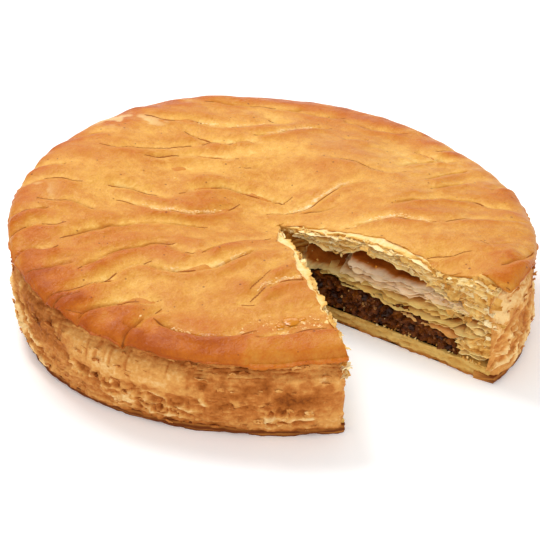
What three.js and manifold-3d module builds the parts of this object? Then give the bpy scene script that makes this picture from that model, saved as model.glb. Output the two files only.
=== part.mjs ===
// A galette des rois: a round puff-pastry pie with one slice taken out. The lid is domed, glazed
// and scored with long wavy cuts; its wall has puffed up round the rim. Under it lie a dark
// fruit-and-nut filling and a flat pastry base. The cut faces open into the hollows that the
// lid left as it rose.
//
// Millimetres, +Z up. The pie stands on z = 0, the missing slice points to -Y, and the origin is
// the middle of the bounding box on the surface that the pie stands on.

import * as THREE from "three";
import { mergeVertices } from "three/addons/utils/BufferGeometryUtils.js";
import Module from "manifold-3d";

const wasm = await Module();
wasm.setup();

// ---- driving dimensions ----

const RIM_RADIUS = 110;          // mean radius of the lid at its lip
const FOOT_RADIUS = 107.6;       // mean radius of the base where it stands
const LIP_HEIGHT = 39;           // mean height of the lip, where the wall turns into the top
const BASE_THICKNESS = 6.3;      // the bottom sheet
const CLEARANCE = 0.3;           // left between two layers that touch
const SEGMENTS = 76;             // steps round the pie

// The outline is hand-shaped: a share of the radius for each slow wave round it.
const OVAL = { share: 0.028, crest: rad(43) };
const THREE_CORNERED = { share: 0.036, crest: rad(-69) };

// The wall rose unevenly: slow waves of its height, and a corner beside the slice that
// puffed up and out.
const TILT = { rise: 4.6, crest: rad(138) };
const WARP = { rise: 5.3, crest: rad(-58) };
const PUFFED_CORNER = { rise: 4, swell: 0.03, at: rad(-64), spread: rad(17) };

// The top: a rounded shoulder inside the lip, a plateau, and a sag in the middle.
const SHOULDER = { width: 12, rise: 4.2 };
const PLATEAU_HEIGHT = 44.5;
const SAG_HEIGHT = 38.2;

// Wavy knife cuts that run side by side across the lid.
const SCORE = { spacing: 19, depth: 1.3, heading: rad(-33.6), sway: 4, sway_length: 74 };

// The wall: pressed-in crease under the lip, rounded belly, thin layers as steps.
const WALL = { rows: 9, belly: 2.2, crease: 2.6, step: 0.35 };

// The filling: a disc that thins towards its edge.
const FILLING = { radius: 94, height: 13.4, edge_height: 4, taper: 30 };

// The missing slice: its point lies a little in front of the middle of the pie.
const SLICE = { point: new THREE.Vector2(-1.5, -6), angle: rad(37.6), reach: 150, height: 80 };

// Hollows that open at both cut faces: under the middle, under the plateau and inside the rim.
// "along" is the distance from the point of the slice, and the half sizes are along the face,
// into the pastry and upwards.
const HOLLOWS = [
  { along: 15, height: 27.3, half: [18, 20, 6.2] },
  { along: 54, height: 34.2, half: [24, 22, 4] },
  { along: 86, height: 23.5, half: [13, 12, 2.4] },
];

const PASTRY_GOLD = { color: 0xd9a055, roughness: 0.45, metalness: 0 };
const FILLING_BROWN = { color: 0x4a2c14, roughness: 0.7, metalness: 0 };
const BASE_TAN = { color: 0xc89a58, roughness: 0.65, metalness: 0 };

// ---- small helpers ----

function rad(degrees) {
  return THREE.MathUtils.degToRad(degrees);
}

function mix(a, b, t) {
  return THREE.MathUtils.lerp(a, b, t);
}

function steps(count, from, to) {
  return Array.from({ length: count }, (_, i) => mix(from, to, i / (count - 1)));
}

function wave(angle, order, crest) {
  return Math.cos(order * (angle - crest));
}

// ---- the pie's outline and surfaces, as functions of the angle round it ----

// How near an angle is to the puffed corner: 1 at its middle, fading to 0.
function puffiness(angle) {
  const turn = angle - PUFFED_CORNER.at;
  const nearest = Math.atan2(Math.sin(turn), Math.cos(turn));
  return Math.exp(-((nearest / PUFFED_CORNER.spread) ** 2));
}

function outline(angle) {
  const oval = OVAL.share * wave(angle, 2, OVAL.crest);
  const corners = THREE_CORNERED.share * wave(angle, 3, THREE_CORNERED.crest);
  return 1 + oval + corners + PUFFED_CORNER.swell * puffiness(angle);
}

function lipHeight(angle) {
  const tilt = TILT.rise * wave(angle, 1, TILT.crest);
  const warp = WARP.rise * wave(angle, 2, WARP.crest);
  return LIP_HEIGHT + tilt + warp + PUFFED_CORNER.rise * puffiness(angle);
}

// How deep the nearest knife cut has pressed the lid at a place.
function scoreDepth(x, y) {
  const across = -x * Math.sin(SCORE.heading) + y * Math.cos(SCORE.heading);
  const along = x * Math.cos(SCORE.heading) + y * Math.sin(SCORE.heading);
  const sway = SCORE.sway * Math.sin((2 * Math.PI * along) / SCORE.sway_length);
  const nearness = 0.5 + 0.5 * Math.cos((2 * Math.PI * (across + sway)) / SCORE.spacing);
  return SCORE.depth * nearness ** 3;
}

// Height of the lid's outside at a radius, from the middle out to the lip.
function lidTop(radius, angle) {
  const rim = RIM_RADIUS * outline(angle);
  const lip = lipHeight(angle);
  const inset = (rim - radius) / SHOULDER.width;
  if (inset < 1) {
    return lip + SHOULDER.rise * Math.sqrt(1 - (1 - inset) ** 2);
  }
  const share = radius / (rim - SHOULDER.width);
  const middle = mix(SAG_HEIGHT, PLATEAU_HEIGHT, THREE.MathUtils.smoothstep(share, 0.05, 0.5));
  const even = mix(middle, lip + SHOULDER.rise, THREE.MathUtils.smoothstep(share, 0.45, 1));
  const score = scoreDepth(radius * Math.cos(angle), radius * Math.sin(angle));
  return even - score * (1 - THREE.MathUtils.smoothstep(share, 0.9, 1));
}

// Radius of the lid's wall, where t is 0 at the seam with the base and 1 at the lip.
function wallRadius(t, angle, row) {
  const straight = mix(FOOT_RADIUS, RIM_RADIUS, t) * outline(angle);
  const belly = WALL.belly * Math.sin(Math.PI * Math.min(1, t * 1.4));
  const crease = WALL.crease * Math.exp(-(((t - 0.82) / 0.1) ** 2));
  const layer = row % 2 === 0 ? WALL.step : -WALL.step;
  return straight + belly - crease + layer;
}

function fillingTop(radius) {
  const inset = THREE.MathUtils.clamp((FILLING.radius - radius) / FILLING.taper, 0, 1);
  const body = FILLING.height - FILLING.edge_height;
  const thickness = FILLING.edge_height + body * Math.sin((inset * Math.PI) / 2);
  return BASE_THICKNESS + CLEARANCE + thickness;
}

// ---- solids ----

// A closed body round the Z axis. Each ring is a function of the angle that gives [radius,
// height]; the rings run outward along the underside, up the wall, and inward over the top.
function bodyOfRings(rings, bottomHeight, topHeight) {
  const positions = [0, 0, bottomHeight];
  for (const ring of rings) {
    for (let k = 0; k < SEGMENTS; k++) {
      const angle = (2 * Math.PI * k) / SEGMENTS;
      const [radius, height] = ring(angle);
      positions.push(radius * Math.cos(angle), radius * Math.sin(angle), height);
    }
  }
  positions.push(0, 0, topHeight);
  const last = positions.length / 3 - 1;
  const at = (ring, k) => 1 + ring * SEGMENTS + (k % SEGMENTS);
  const triangles = [];
  for (let k = 0; k < SEGMENTS; k++) {
    triangles.push(0, at(0, k + 1), at(0, k));
    triangles.push(last, at(rings.length - 1, k), at(rings.length - 1, k + 1));
    for (let ring = 0; ring + 1 < rings.length; ring++) {
      triangles.push(at(ring, k), at(ring, k + 1), at(ring + 1, k + 1));
      triangles.push(at(ring, k), at(ring + 1, k + 1), at(ring + 1, k));
    }
  }
  return manifoldFrom(positions, triangles);
}

function manifoldFrom(positions, triangles) {
  const mesh = new wasm.Mesh({
    numProp: 3,
    vertProperties: new Float32Array(positions),
    triVerts: new Uint32Array(triangles),
  });
  return new wasm.Manifold(mesh);
}

function manifoldOf(geometry) {
  const bare = geometry.clone();
  bare.deleteAttribute("normal");
  bare.deleteAttribute("uv");
  const merged = mergeVertices(bare, 1e-4);
  return manifoldFrom(merged.attributes.position.array, merged.index.array);
}

function geometryOf(solid) {
  const mesh = solid.getMesh();
  const geometry = new THREE.BufferGeometry();
  geometry.setAttribute("position", new THREE.BufferAttribute(mesh.vertProperties, mesh.numProp));
  geometry.setIndex(new THREE.BufferAttribute(mesh.triVerts, 1));
  geometry.computeVertexNormals();
  return geometry;
}

function cutFaceHeading(side) {
  return -Math.PI / 2 + (side * SLICE.angle) / 2;
}

// The missing slice, as an upright wedge that runs out past the rim.
function sliceWedge() {
  const shape = new THREE.Shape();
  shape.moveTo(SLICE.point.x, SLICE.point.y);
  for (const side of [-1, 1]) {
    const heading = cutFaceHeading(side);
    const x = SLICE.point.x + SLICE.reach * Math.cos(heading);
    shape.lineTo(x, SLICE.point.y + SLICE.reach * Math.sin(heading));
  }
  shape.closePath();
  const wedge = new THREE.ExtrudeGeometry(shape, { depth: SLICE.height, bevelEnabled: false });
  wedge.translate(0, 0, -SLICE.height / 4);
  return manifoldOf(wedge);
}

// One hollow, as a flattened ball whose middle lies on a cut face.
function hollow(size, side) {
  const heading = cutFaceHeading(side);
  const ball = new THREE.SphereGeometry(1, 20, 12);
  ball.rotateX(Math.PI / 2);
  ball.scale(...size.half);
  ball.rotateZ(heading);
  const x = SLICE.point.x + size.along * Math.cos(heading);
  const y = SLICE.point.y + size.along * Math.sin(heading);
  ball.translate(x, y, size.height);
  return manifoldOf(ball);
}

// Radii of the rings that follow the filling's top, from its edge inward.
function fillingRadii() {
  return [...steps(4, FILLING.radius, FILLING.radius - FILLING.taper), 22];
}

// The lid with its wall: it rests on the base round the filling and arches over it.
function topPastry() {
  const seam = BASE_THICKNESS + CLEARANCE;
  const rings = fillingRadii().reverse().map((radius) => () => [
    radius === FILLING.radius ? radius + CLEARANCE : radius,
    fillingTop(radius) + CLEARANCE,
  ]);
  rings.push(() => [FILLING.radius + CLEARANCE, seam]);
  rings.push(...steps(WALL.rows, 0, 1).map((t, row) => (angle) => [
    wallRadius(t, angle, row),
    mix(seam, lipHeight(angle), t),
  ]));
  for (const inset of [0.08, 0.3, 0.62]) {
    rings.push(onLid((rim) => rim - inset * SHOULDER.width));
  }
  for (const share of steps(14, 1, 0.07)) {
    rings.push(onLid((rim) => (rim - SHOULDER.width) * share));
  }
  return bodyOfRings(rings, fillingTop(0) + CLEARANCE, lidTop(0, 0));
}

function onLid(radiusFor) {
  return (angle) => {
    const radius = radiusFor(RIM_RADIUS * outline(angle));
    return [radius, lidTop(radius, angle)];
  };
}

function fillingDisc() {
  const bottom = BASE_THICKNESS + CLEARANCE;
  const rings = [22, 60, FILLING.radius].map((radius) => () => [radius, bottom]);
  rings.push(...fillingRadii().map((radius) => () => [radius, fillingTop(radius)]));
  return bodyOfRings(rings, bottom, fillingTop(0));
}

function bottomPastry() {
  const foot = (inset, height) => (angle) => [FOOT_RADIUS * outline(angle) - inset, height];
  const rings = [
    foot(45, 0),
    foot(2.2, 0),
    foot(-0.4, 1.6),
    foot(-0.9, 3.8),
    foot(0, BASE_THICKNESS),
    foot(45, BASE_THICKNESS),
  ];
  return bodyOfRings(rings, 0, BASE_THICKNESS);
}

// ---- the pie ----

function piece(name, solid, finish) {
  const mesh = new THREE.Mesh(geometryOf(solid), new THREE.MeshStandardMaterial(finish));
  mesh.name = name;
  return mesh;
}

function galette() {
  const wedge = sliceWedge();
  const hollows = HOLLOWS.flatMap((size) => [-1, 1].map((side) => hollow(size, side)));
  const carve = (solid, cutter) => solid.subtract(cutter);
  const lid = hollows.reduce(carve, topPastry().subtract(wedge));
  const pie = new THREE.Group();
  pie.add(
    piece("top_pastry", lid, PASTRY_GOLD),
    piece("filling", fillingDisc().subtract(wedge), FILLING_BROWN),
    piece("bottom_pastry", bottomPastry().subtract(wedge), BASE_TAN),
  );
  const middle = new THREE.Box3().setFromObject(pie).getCenter(new THREE.Vector3());
  pie.position.set(-middle.x, -middle.y, 0);
  const object = new THREE.Group();
  object.add(pie);
  return object;
}

export default galette();
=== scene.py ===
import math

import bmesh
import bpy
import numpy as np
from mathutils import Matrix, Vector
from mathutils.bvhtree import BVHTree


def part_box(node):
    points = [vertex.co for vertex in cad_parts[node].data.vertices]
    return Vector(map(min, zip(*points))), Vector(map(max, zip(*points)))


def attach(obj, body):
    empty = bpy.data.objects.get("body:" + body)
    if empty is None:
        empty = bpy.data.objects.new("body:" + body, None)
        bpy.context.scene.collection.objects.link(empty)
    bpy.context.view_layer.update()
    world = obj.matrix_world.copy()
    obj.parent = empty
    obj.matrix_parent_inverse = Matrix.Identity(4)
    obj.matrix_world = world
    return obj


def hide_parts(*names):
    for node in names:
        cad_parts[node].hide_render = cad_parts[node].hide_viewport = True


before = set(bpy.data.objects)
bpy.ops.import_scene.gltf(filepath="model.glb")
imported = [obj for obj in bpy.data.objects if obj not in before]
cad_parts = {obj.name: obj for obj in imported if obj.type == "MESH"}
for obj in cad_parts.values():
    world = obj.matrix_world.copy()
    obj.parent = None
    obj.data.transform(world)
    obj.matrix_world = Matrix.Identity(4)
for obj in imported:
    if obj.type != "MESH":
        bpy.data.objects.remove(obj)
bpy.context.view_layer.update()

# A galette des rois with one slice cut out: its looks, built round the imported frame.
#
# Shapes are worked out in millimetres in the frame's own axes and turned into metres where a mesh
# is made. The pie is described from the point of the missing slice: a place in it has a heading
# round that point, a distance along that heading towards the rim, and a height. A place near a cut
# face is given along the face, into the pastry, and up. The knife cuts have axes of their own about
# the pie's centre: u runs along them and v across them.

MM = 0.001


def corners(node):
    low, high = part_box(node)
    return np.array(low) / MM, np.array(high) / MM


# ---- sizes, in mm ----

FILLING_LOW, FILLING_HIGH = corners("filling")
BASE_TOP = corners("bottom_pastry")[1][2]
FILLING_RADIUS = (FILLING_HIGH[0] - FILLING_LOW[0]) / 2
CENTRE = np.array([(FILLING_LOW[0] + FILLING_HIGH[0]) / 2, FILLING_HIGH[1] - FILLING_RADIUS])
FILLING_TOP = FILLING_HIGH[2]
FILLING_EDGE = 4.2
FILLING_TAPER = 30

RIM_RADIUS = 110
FOOT_INSET = 2.4
LIP_HEIGHT = 39
OVAL = (0.028, math.radians(43))
THREE_CORNERED = (0.036, math.radians(-69))
TILT = (4.6, math.radians(138))
WARP = (5.3, math.radians(-58))
PUFFED_CORNER = {"rise": 4, "swell": 0.03, "at": math.radians(-64), "spread": math.radians(17)}

SHOULDER_WIDTH = 12
SHOULDER_RISE = 4.2
PLATEAU_HEIGHT = 44
SAG_HEIGHT = 37.6
DIPS = [(-71, 82, 13, 3.4)]             # heading (degrees), along, spread and depth of hollows in the lid

SLICE_POINT = CENTRE + np.array([-1.5, -6.0])
HALF_SLICE = math.radians(37.6 / 2)
FIRST_HEADING = -math.pi / 2 + HALF_SLICE
LAST_HEADING = 1.5 * math.pi - HALF_SLICE

SCORE_HEADING = math.radians(-33.6)     # the knife cuts run along this heading
CUT_WANDER = 1.1                        # how far a knife cut strays from its smooth line
CUT_REACH = 16                          # a cut shapes the lid no further than this from it
GROOVE_WIDTH = 0.62
VALLEY_WIDTH = 4.2                      # the dip that the groove lies in
SWELL_AT, SWELL_WIDTH = -3.4, 2.8       # the dough swells to the right of a cut
FAR_SWELL_AT, FAR_SWELL_WIDTH = 6.0, 4.0        # and less, further off, to its left
CRUST = 1.1                             # thickness of the glazed skin
WALL_THICKNESS = 4.5                    # of the side wall's flaky layers

# Knife cuts across the lid: start and end as (u, v), how far the cut bows and sways to the side,
# how deep it went, and how much egg ran into it and dried shiny, which also sets a painted highlight.
KNIFE_CUTS = [
    ((-62, 72), (4, 80), -3, 1, 0.9, 0.6), ((-12, 64), (28, 80), 0, -2, 1.1, 1),
    ((-42, 63), (-8, 61), -5, 0, 0.9, 0), ((-78, 39), (-24, 56), -3, -1, 0.8, 0),
    ((-58, 34), (-14, 42), 4, 0, 0.8, 0), ((-42, 6), (6, 12), 9, 1, 0.9, 0),
    ((-72, 8), (-42, 3), 3, 1, 0.8, 0), ((-68, -1), (-14, 8), -10, 2, 1.1, 0.8),
    ((-14, 6), (44, 24), -6, -4, 0.8, 1), ((46, 0), (104, -4), 9, 0, 1.0, 0),
    ((28, -18), (68, -18), 6, 0, 1.2, 1), ((68, -19), (106, -13), 3, 1, 0.8, 0),
    ((53, 41), (84, 53), 4, 0, 1.0, 0), ((62, 63), (79, 51), 0, 0, 1.0, 0),
    ((64, 25), (86, 41), 2, 0, 0.9, 0), ((66, 17), (84, 27), 1, 0, 0.8, 0),
    ((-88, -35), (-26, -15), 6, 0, 1.1, 0), ((-78, -57), (-38, -34), 7, 0, 1.2, 0),
    ((-56, -47), (-4, -35), -12, -1, 1.2, 0.8), ((-68, -63), (-48, -47), 3, 0, 0.8, 0),
    ((-96, -75), (-58, -58), 1, 0, 1.0, 0), ((-82, -94), (-42, -72), 8, 1, 1.2, 0),
    ((-60, -104), (-42, -77), 3, 0, 1.1, 0.3), ((-110, -32), (-84, -24), 3, 0, 1.2, 0),
    ((-100, -57), (-78, -51), 1, 0, 1.0, 0), ((-30, -44), (0, -23), 4, 0, 1.1, 0),
    ((-44, -35), (-31, -42), 0, 0, 1.0, 0), ((-10, -74), (18, -60), 5, 0, 1.1, 1),
    ((-10, -68), (7, -44), 1, 0, 0.8, 0), ((-47, -85), (-6, -91), -6, 0, 1.4, 0.7),
    ((-8, -98), (28, -91), 1, 0, 1.3, 1), ((-103, 36), (-72, 53), 2, 0, 0.8, 0),
    ((-109, 2), (-80, 8), 3, 0, 0.7, 0), ((20, 44), (60, 34), -3, 2, 0.5, 0),
    ((-34, 96), (20, 100), 3, 0, 0.7, 0), ((30, 92), (62, 82), -2, 0, 0.8, 0),
    ((-92, 72), (-58, 88), 3, 0, 0.7, 0), ((-100, -8), (-72, -12), 2, 0, 0.9, 0),
    ((-112, -20), (-92, -15), 2, 0, 1.1, 0), ((-110, 14), (-88, 21), 2, 0, 0.9, 0),
    ((-105, -47), (-86, -38), 2, 1, 1.1, 0), ((-93, -84), (-74, -68), 2, 0, 1.0, 0),
    ((92, 18), (108, 22), 2, 0, 0.9, 0), ((88, -58), (104, -40), -2, 0, 0.9, 0),
    ((6, 98), (34, 96), -2, 1, 0.8, 0),
]

# Fine stretch marks between the cuts, much like them but short and shallow.
STRETCH_MARKS = 30
marks = np.random.default_rng(5)
for _ in range(STRETCH_MARKS):
    mark_u, mark_v = marks.uniform(-90, 90), marks.uniform(-88, 92)
    mark_long, mark_rise = marks.uniform(8, 24), marks.uniform(-5, 7)
    KNIFE_CUTS.append(((mark_u, mark_v), (mark_u + mark_long, mark_v + mark_rise), marks.uniform(-3, 3),
                       marks.uniform(-1, 1), marks.uniform(0.28, 0.6), 0))

# Where the oven scorched the swollen dough: place as (u, v), size and how dark.
SCORCHES = [
    ((-90, -58), 5, 0.32), ((-84, -73), 7, 0.42), ((-77, -86), 6, 0.36), ((-44, -98), 6, 0.24),
    ((-22, -104), 8, 0.14), ((-13, -113), 5, 0.40), ((-18, -96), 6, 0.16), ((-102, -41), 5, 0.30),
    ((-105, -28), 4, 0.32), ((-61, -80), 8, 0.26), ((90, -36), 8, 0.22), ((94, -50), 7, 0.26),
    ((-5, -91), 6, 0.16), ((-68, -22), 5, 0.18), ((89, -66), 4, 0.24), ((98, 12), 6, 0.16),
    ((62, 78), 7, 0.14), ((-88, 42), 6, 0.16), ((-100, 14), 5, 0.2), ((14, -104), 7, 0.05),
]

# Where egg pooled and dried amber: place as (u, v) and size.
AMBER_POOLS = [((6.6, -86), 3.4), ((2.4, -88.6), 2.0), ((10.6, -85), 1.6)]


# ---- numbers that look grown rather than drawn ----

def lattice(ix, iy, iz, seed):
    """A repeatable number from -1 to 1 for each whole-numbered place."""
    mixed = (ix * 374761393 + iy * 668265263 + iz * 1440662683 + seed * 974711) & 0xFFFFFFFF
    mixed = ((mixed ^ (mixed >> 13)) * 1274126177) & 0xFFFFFFFF
    mixed = mixed ^ (mixed >> 16)
    return (mixed & 0xFFFFFF) / 0x7FFFFF - 1


def noise(x, y, z=0.0, seed=1):
    """Smooth noise from -1 to 1 that changes over a distance of about 1."""
    x, y, z = np.broadcast_arrays(np.asarray(x, float), np.asarray(y, float), np.asarray(z, float))
    whole = [np.floor(v).astype(np.int64) for v in (x, y, z)]
    parts = [v - w for v, w in zip((x, y, z), whole)]
    eased = [p * p * p * (p * (6 * p - 15) + 10) for p in parts]
    total = np.zeros(x.shape)
    for corner in range(8):
        steps = (corner & 1, corner >> 1 & 1, corner >> 2)
        weight = np.ones(x.shape)
        for step, ease in zip(steps, eased):
            weight = weight * (ease if step else 1 - ease)
        total += weight * lattice(whole[0] + steps[0], whole[1] + steps[1], whole[2] + steps[2], seed)
    return total


def cells(x, y, seed=1):
    """Distance to the nearest of a scatter of points about 1 apart, and that point's number."""
    x, y = np.broadcast_arrays(np.asarray(x, float), np.asarray(y, float))
    ix, iy = np.floor(x).astype(np.int64), np.floor(y).astype(np.int64)
    nearest = np.full(x.shape, 9.0)
    number = np.zeros(x.shape)
    for dx in (-1, 0, 1):
        for dy in (-1, 0, 1):
            cx, cy = ix + dx, iy + dy
            px = cx + 0.5 + 0.42 * lattice(cx, cy, 0, seed)
            py = cy + 0.5 + 0.42 * lattice(cx, cy, 1, seed)
            gap = np.hypot(x - px, y - py)
            closer = gap < nearest
            nearest = np.where(closer, gap, nearest)
            number = np.where(closer, lattice(cx, cy, 2, seed), number)
    return nearest, number


def smooth(value, low, high):
    """0 below low, 1 above high, and an even turn between."""
    t = np.clip((value - low) / (high - low), 0, 1)
    return t * t * (3 - 2 * t)


def mix(a, b, t):
    """a where t is 0, b where it is 1."""
    return a + (b - a) * t


# ---- the pie's outline and top ----

def wave(angle, order, crest):
    """An even wave with so many crests round the pie, one of them at the given angle."""
    return np.cos(order * (angle - crest))


def puffiness(angle):
    """1 at the corner that puffed up most, and less away from it."""
    turn = (angle - PUFFED_CORNER["at"] + math.pi) % (2 * math.pi) - math.pi
    return np.exp(-(turn / PUFFED_CORNER["spread"]) ** 2)


def outline(angle):
    """How far out the rim lies, as a share of its mean radius."""
    waves = OVAL[0] * wave(angle, 2, OVAL[1])
    waves = waves + THREE_CORNERED[0] * wave(angle, 3, THREE_CORNERED[1])
    return 1 + waves + PUFFED_CORNER["swell"] * puffiness(angle)


def lip_height(angle):
    """Height of the lid's outer edge."""
    waves = TILT[0] * wave(angle, 1, TILT[1]) + WARP[0] * wave(angle, 2, WARP[1])
    return LIP_HEIGHT + waves + PUFFED_CORNER["rise"] * puffiness(angle)


def angle_about_centre(x, y):
    return np.arctan2(y - CENTRE[1], x - CENTRE[0])


TABLE_TURN = 4000       # entries in the table of reaches for one turn round the pie


def reach_table():
    """How far the rim lies from the slice's point, for each heading."""
    angle = np.linspace(-math.pi, 3 * math.pi, 2 * TABLE_TURN + 1)
    dx = CENTRE[0] + RIM_RADIUS * outline(angle) * np.cos(angle) - SLICE_POINT[0]
    dy = CENTRE[1] + RIM_RADIUS * outline(angle) * np.sin(angle) - SLICE_POINT[1]
    return np.unwrap(np.arctan2(dy, dx)), np.hypot(dx, dy)


HEADINGS, REACHES = reach_table()
HEADINGS = HEADINGS - 2 * math.pi * round((HEADINGS[TABLE_TURN] - math.pi) / (2 * math.pi))


def reach(heading):
    """Distance from the slice's point to the rim."""
    return np.interp(heading, HEADINGS, REACHES)


def place(heading, along):
    """The place at a heading and distance from the slice's point."""
    return SLICE_POINT[0] + along * np.cos(heading), SLICE_POINT[1] + along * np.sin(heading)


SCORE_COS, SCORE_SIN = math.cos(SCORE_HEADING), math.sin(SCORE_HEADING)


def score_axes(x, y):
    """A place's (u, v) on the knife cuts' axes."""
    dx, dy = x - CENTRE[0], y - CENTRE[1]
    return dx * SCORE_COS + dy * SCORE_SIN, dy * SCORE_COS - dx * SCORE_SIN


def turn_to_frame(u, v):
    """A direction on the knife cuts' axes, in the frame's."""
    return u * SCORE_COS - v * SCORE_SIN, u * SCORE_SIN + v * SCORE_COS


def from_score_axes(u, v):
    """The place at (u, v) on the knife cuts' axes, in the frame's."""
    x, y = turn_to_frame(u, v)
    return CENTRE[0] + x, CENTRE[1] + y


def cut_line(start, end, bow, sway, count=15):
    """Points along a knife cut that bows to one side and sways to both."""
    t = np.linspace(0, 1, count)
    start, end = np.array(start, float), np.array(end, float)
    run = end - start
    side = np.array([-run[1], run[0]]) / np.hypot(*run)
    offset = bow * np.sin(math.pi * t) + sway * np.sin(2 * math.pi * t)
    return start + t[:, None] * run + offset[:, None] * side


def nearest_on_line(u, v, line):
    """Signed distance to a line of points (positive on its left) and the share along it."""
    best = np.full(u.shape, 1e9)
    signed = np.zeros(u.shape)
    share = np.zeros(u.shape)
    for k in range(len(line) - 1):
        a, b = line[k], line[k + 1]
        run = b - a
        length = np.hypot(*run)
        t = np.clip(((u - a[0]) * run[0] + (v - a[1]) * run[1]) / length ** 2, 0, 1)
        gap = np.hypot(u - a[0] - t * run[0], v - a[1] - t * run[1])
        cross = run[0] * (v - a[1]) - run[1] * (u - a[0])
        closer = gap < best
        best = np.where(closer, gap, best)
        signed = np.where(closer, np.where(cross >= 0, gap, -gap), signed)
        share = np.where(closer, (k + t) / (len(line) - 1), share)
    return signed, share


def wander(u, v):
    """How far across its line a knife cut strays at a place."""
    return CUT_WANDER * noise(u / 7, v / 7, seed=5)


def scores(x, y):
    """Knife cuts: their relief, how near the nearest groove is, how swollen and how shiny the lid is; the
    swelling tone also carries painted shade, and the shine sets a painted highlight.
    """
    shape = np.shape(x)
    u, v = (a.ravel() for a in score_axes(np.asarray(x, float), np.asarray(y, float)))
    relief = np.zeros(u.shape)
    groove = np.zeros(u.shape)
    swelling_and_painted_shade = np.zeros(u.shape)
    shine = np.zeros(u.shape)
    stray = wander(u, v)
    for number, (start, end, bow, sway, depth, egg_shine_and_painted_highlight) in enumerate(KNIFE_CUTS):
        line = cut_line(start, end, bow, sway)
        low, high = line.min(axis=0) - CUT_REACH, line.max(axis=0) + CUT_REACH
        near = (u > low[0]) & (u < high[0]) & (v > low[1]) & (v < high[1])
        if not near.any():
            continue
        gap, share = nearest_on_line(u[near], v[near] + stray[near], line)
        ends = smooth(share, 0, 0.18) * smooth(1 - share, 0, 0.18)
        fused = 0.35 + 0.65 * smooth(noise(u[near] / 13, v[near] / 13, seed=60 + number), -0.5, 0.3)
        cut = np.exp(-(gap / GROOVE_WIDTH) ** 2) * ends * fused
        valley = np.exp(-(gap / VALLEY_WIDTH) ** 2) * ends
        swell = np.exp(-((gap - SWELL_AT) / SWELL_WIDTH) ** 2) * ends
        far_swell = np.exp(-((gap - FAR_SWELL_AT) / FAR_SWELL_WIDTH) ** 2) * ends
        relief[near] += depth * (-1.3 * cut - 0.85 * valley + 1.15 * swell + 0.4 * far_swell)
        groove[near] = np.maximum(groove[near], cut * depth)
        # Browner on the swells and paler in the valley; the stronger swell to the right of a cut also
        # stands for painted shade.
        swelling_and_painted_shade[near] += depth * (0.9 * swell + 0.3 * far_swell - 0.9 * valley)
        # Egg that dried shiny lowers the crust's roughness and also sets a painted highlight in its
        # colour.
        if egg_shine_and_painted_highlight:
            run = smooth(share, 0.2, 0.4) * smooth(1 - share, 0.05, 0.3)
            dried = smooth(noise(u[near] / 4, v[near] / 2, seed=27) + 0.3, -0.2, 0.3)
            shine[near] = np.maximum(shine[near], egg_shine_and_painted_highlight * run * dried * np.exp(-((gap - 1.3) / 1.2) ** 2))
    return tuple(value.reshape(shape) for value in (relief, groove, swelling_and_painted_shade, shine))


def even_lid(x, y):
    """Height of the lid without its knife cuts."""
    angle = angle_about_centre(x, y)
    radius = np.hypot(x - CENTRE[0], y - CENTRE[1])
    rim = RIM_RADIUS * outline(angle)
    lip = lip_height(angle)
    inset = np.clip((rim - radius) / SHOULDER_WIDTH, 0, 1)
    shoulder = lip + SHOULDER_RISE * np.sqrt(np.clip(1 - (1 - inset) ** 2.2, 0, 1))
    share = np.clip(radius / (rim - SHOULDER_WIDTH), 0, 1)
    middle = mix(SAG_HEIGHT, PLATEAU_HEIGHT, smooth(share, 0.05, 0.5))
    inner = mix(middle, lip + SHOULDER_RISE, smooth(share, 0.45, 1))
    for heading, along, spread, depth in DIPS:
        dip_x, dip_y = place(math.radians(heading), along)
        inner = inner - depth * np.exp(-((x - dip_x) ** 2 + (y - dip_y) ** 2) / spread ** 2)
    return np.where(inset < 1, shoulder, inner)


def lid_top(x, y):
    """Height of the glazed lid, with its groove nearness, its swelling (a tone that also carries painted
    shade) and its shine, which sets a painted highlight.
    """
    relief, groove, swelling_and_painted_shade, shine = scores(x, y)
    u, v = score_axes(x, y)
    slow = 0.8 * noise(u / 32, v / 17, seed=31) + 0.5 * noise(u / 14, v / 8, seed=32)
    fine = 0.15 * noise(u / 5.5, v / 4, seed=33) + 0.05 * noise(u / 2.0, v / 1.9, seed=34)
    swelling_and_painted_shade = np.clip(swelling_and_painted_shade, -0.7, 2) + 0.45 * slow + 0.8 * fine
    return even_lid(x, y) + relief + slow + fine, groove, swelling_and_painted_shade, shine


def filling_height(x, y):
    """Height of the filling's top, which thins towards its edge."""
    radius = np.hypot(x - CENTRE[0], y - CENTRE[1])
    inset = np.clip((FILLING_RADIUS - radius) / FILLING_TAPER, 0, 1)
    body = FILLING_TOP - BASE_TOP - FILLING_EDGE
    return BASE_TOP + FILLING_EDGE + body * np.sin(inset * math.pi / 2)


# ---- the two cut faces ----

class CutFace:
    """One side of the missing slice."""

    def __init__(self, name, heading, turn):
        self.name = name
        self.heading = heading
        self.along = np.array([math.cos(heading), math.sin(heading)])
        self.into = turn * np.array([-self.along[1], self.along[0]])
        self.length = float(reach(heading))

    def point(self, along, into, height):
        """The place so far along the face, into the pastry and up."""
        along, into, height = np.broadcast_arrays(along, into, height)
        flat = SLICE_POINT + along[..., None] * self.along + into[..., None] * self.into
        return np.concatenate([flat, np.asarray(height, float)[..., None]], axis=-1)

    def depth_of(self, x, y):
        """How far into the pastry a place lies."""
        return (x - SLICE_POINT[0]) * self.into[0] + (y - SLICE_POINT[1]) * self.into[1]


FACES = [CutFace("right", FIRST_HEADING, 1), CutFace("left", LAST_HEADING, -1)]


def from_face(face, heading):
    """How far a heading has turned away from a cut face."""
    return np.abs(heading - face.heading)


def own_side(face, heading):
    """1 on a cut face's own side of the pie, 0 across it."""
    return smooth(1.5 - from_face(face, heading), 0, 0.7)


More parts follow.
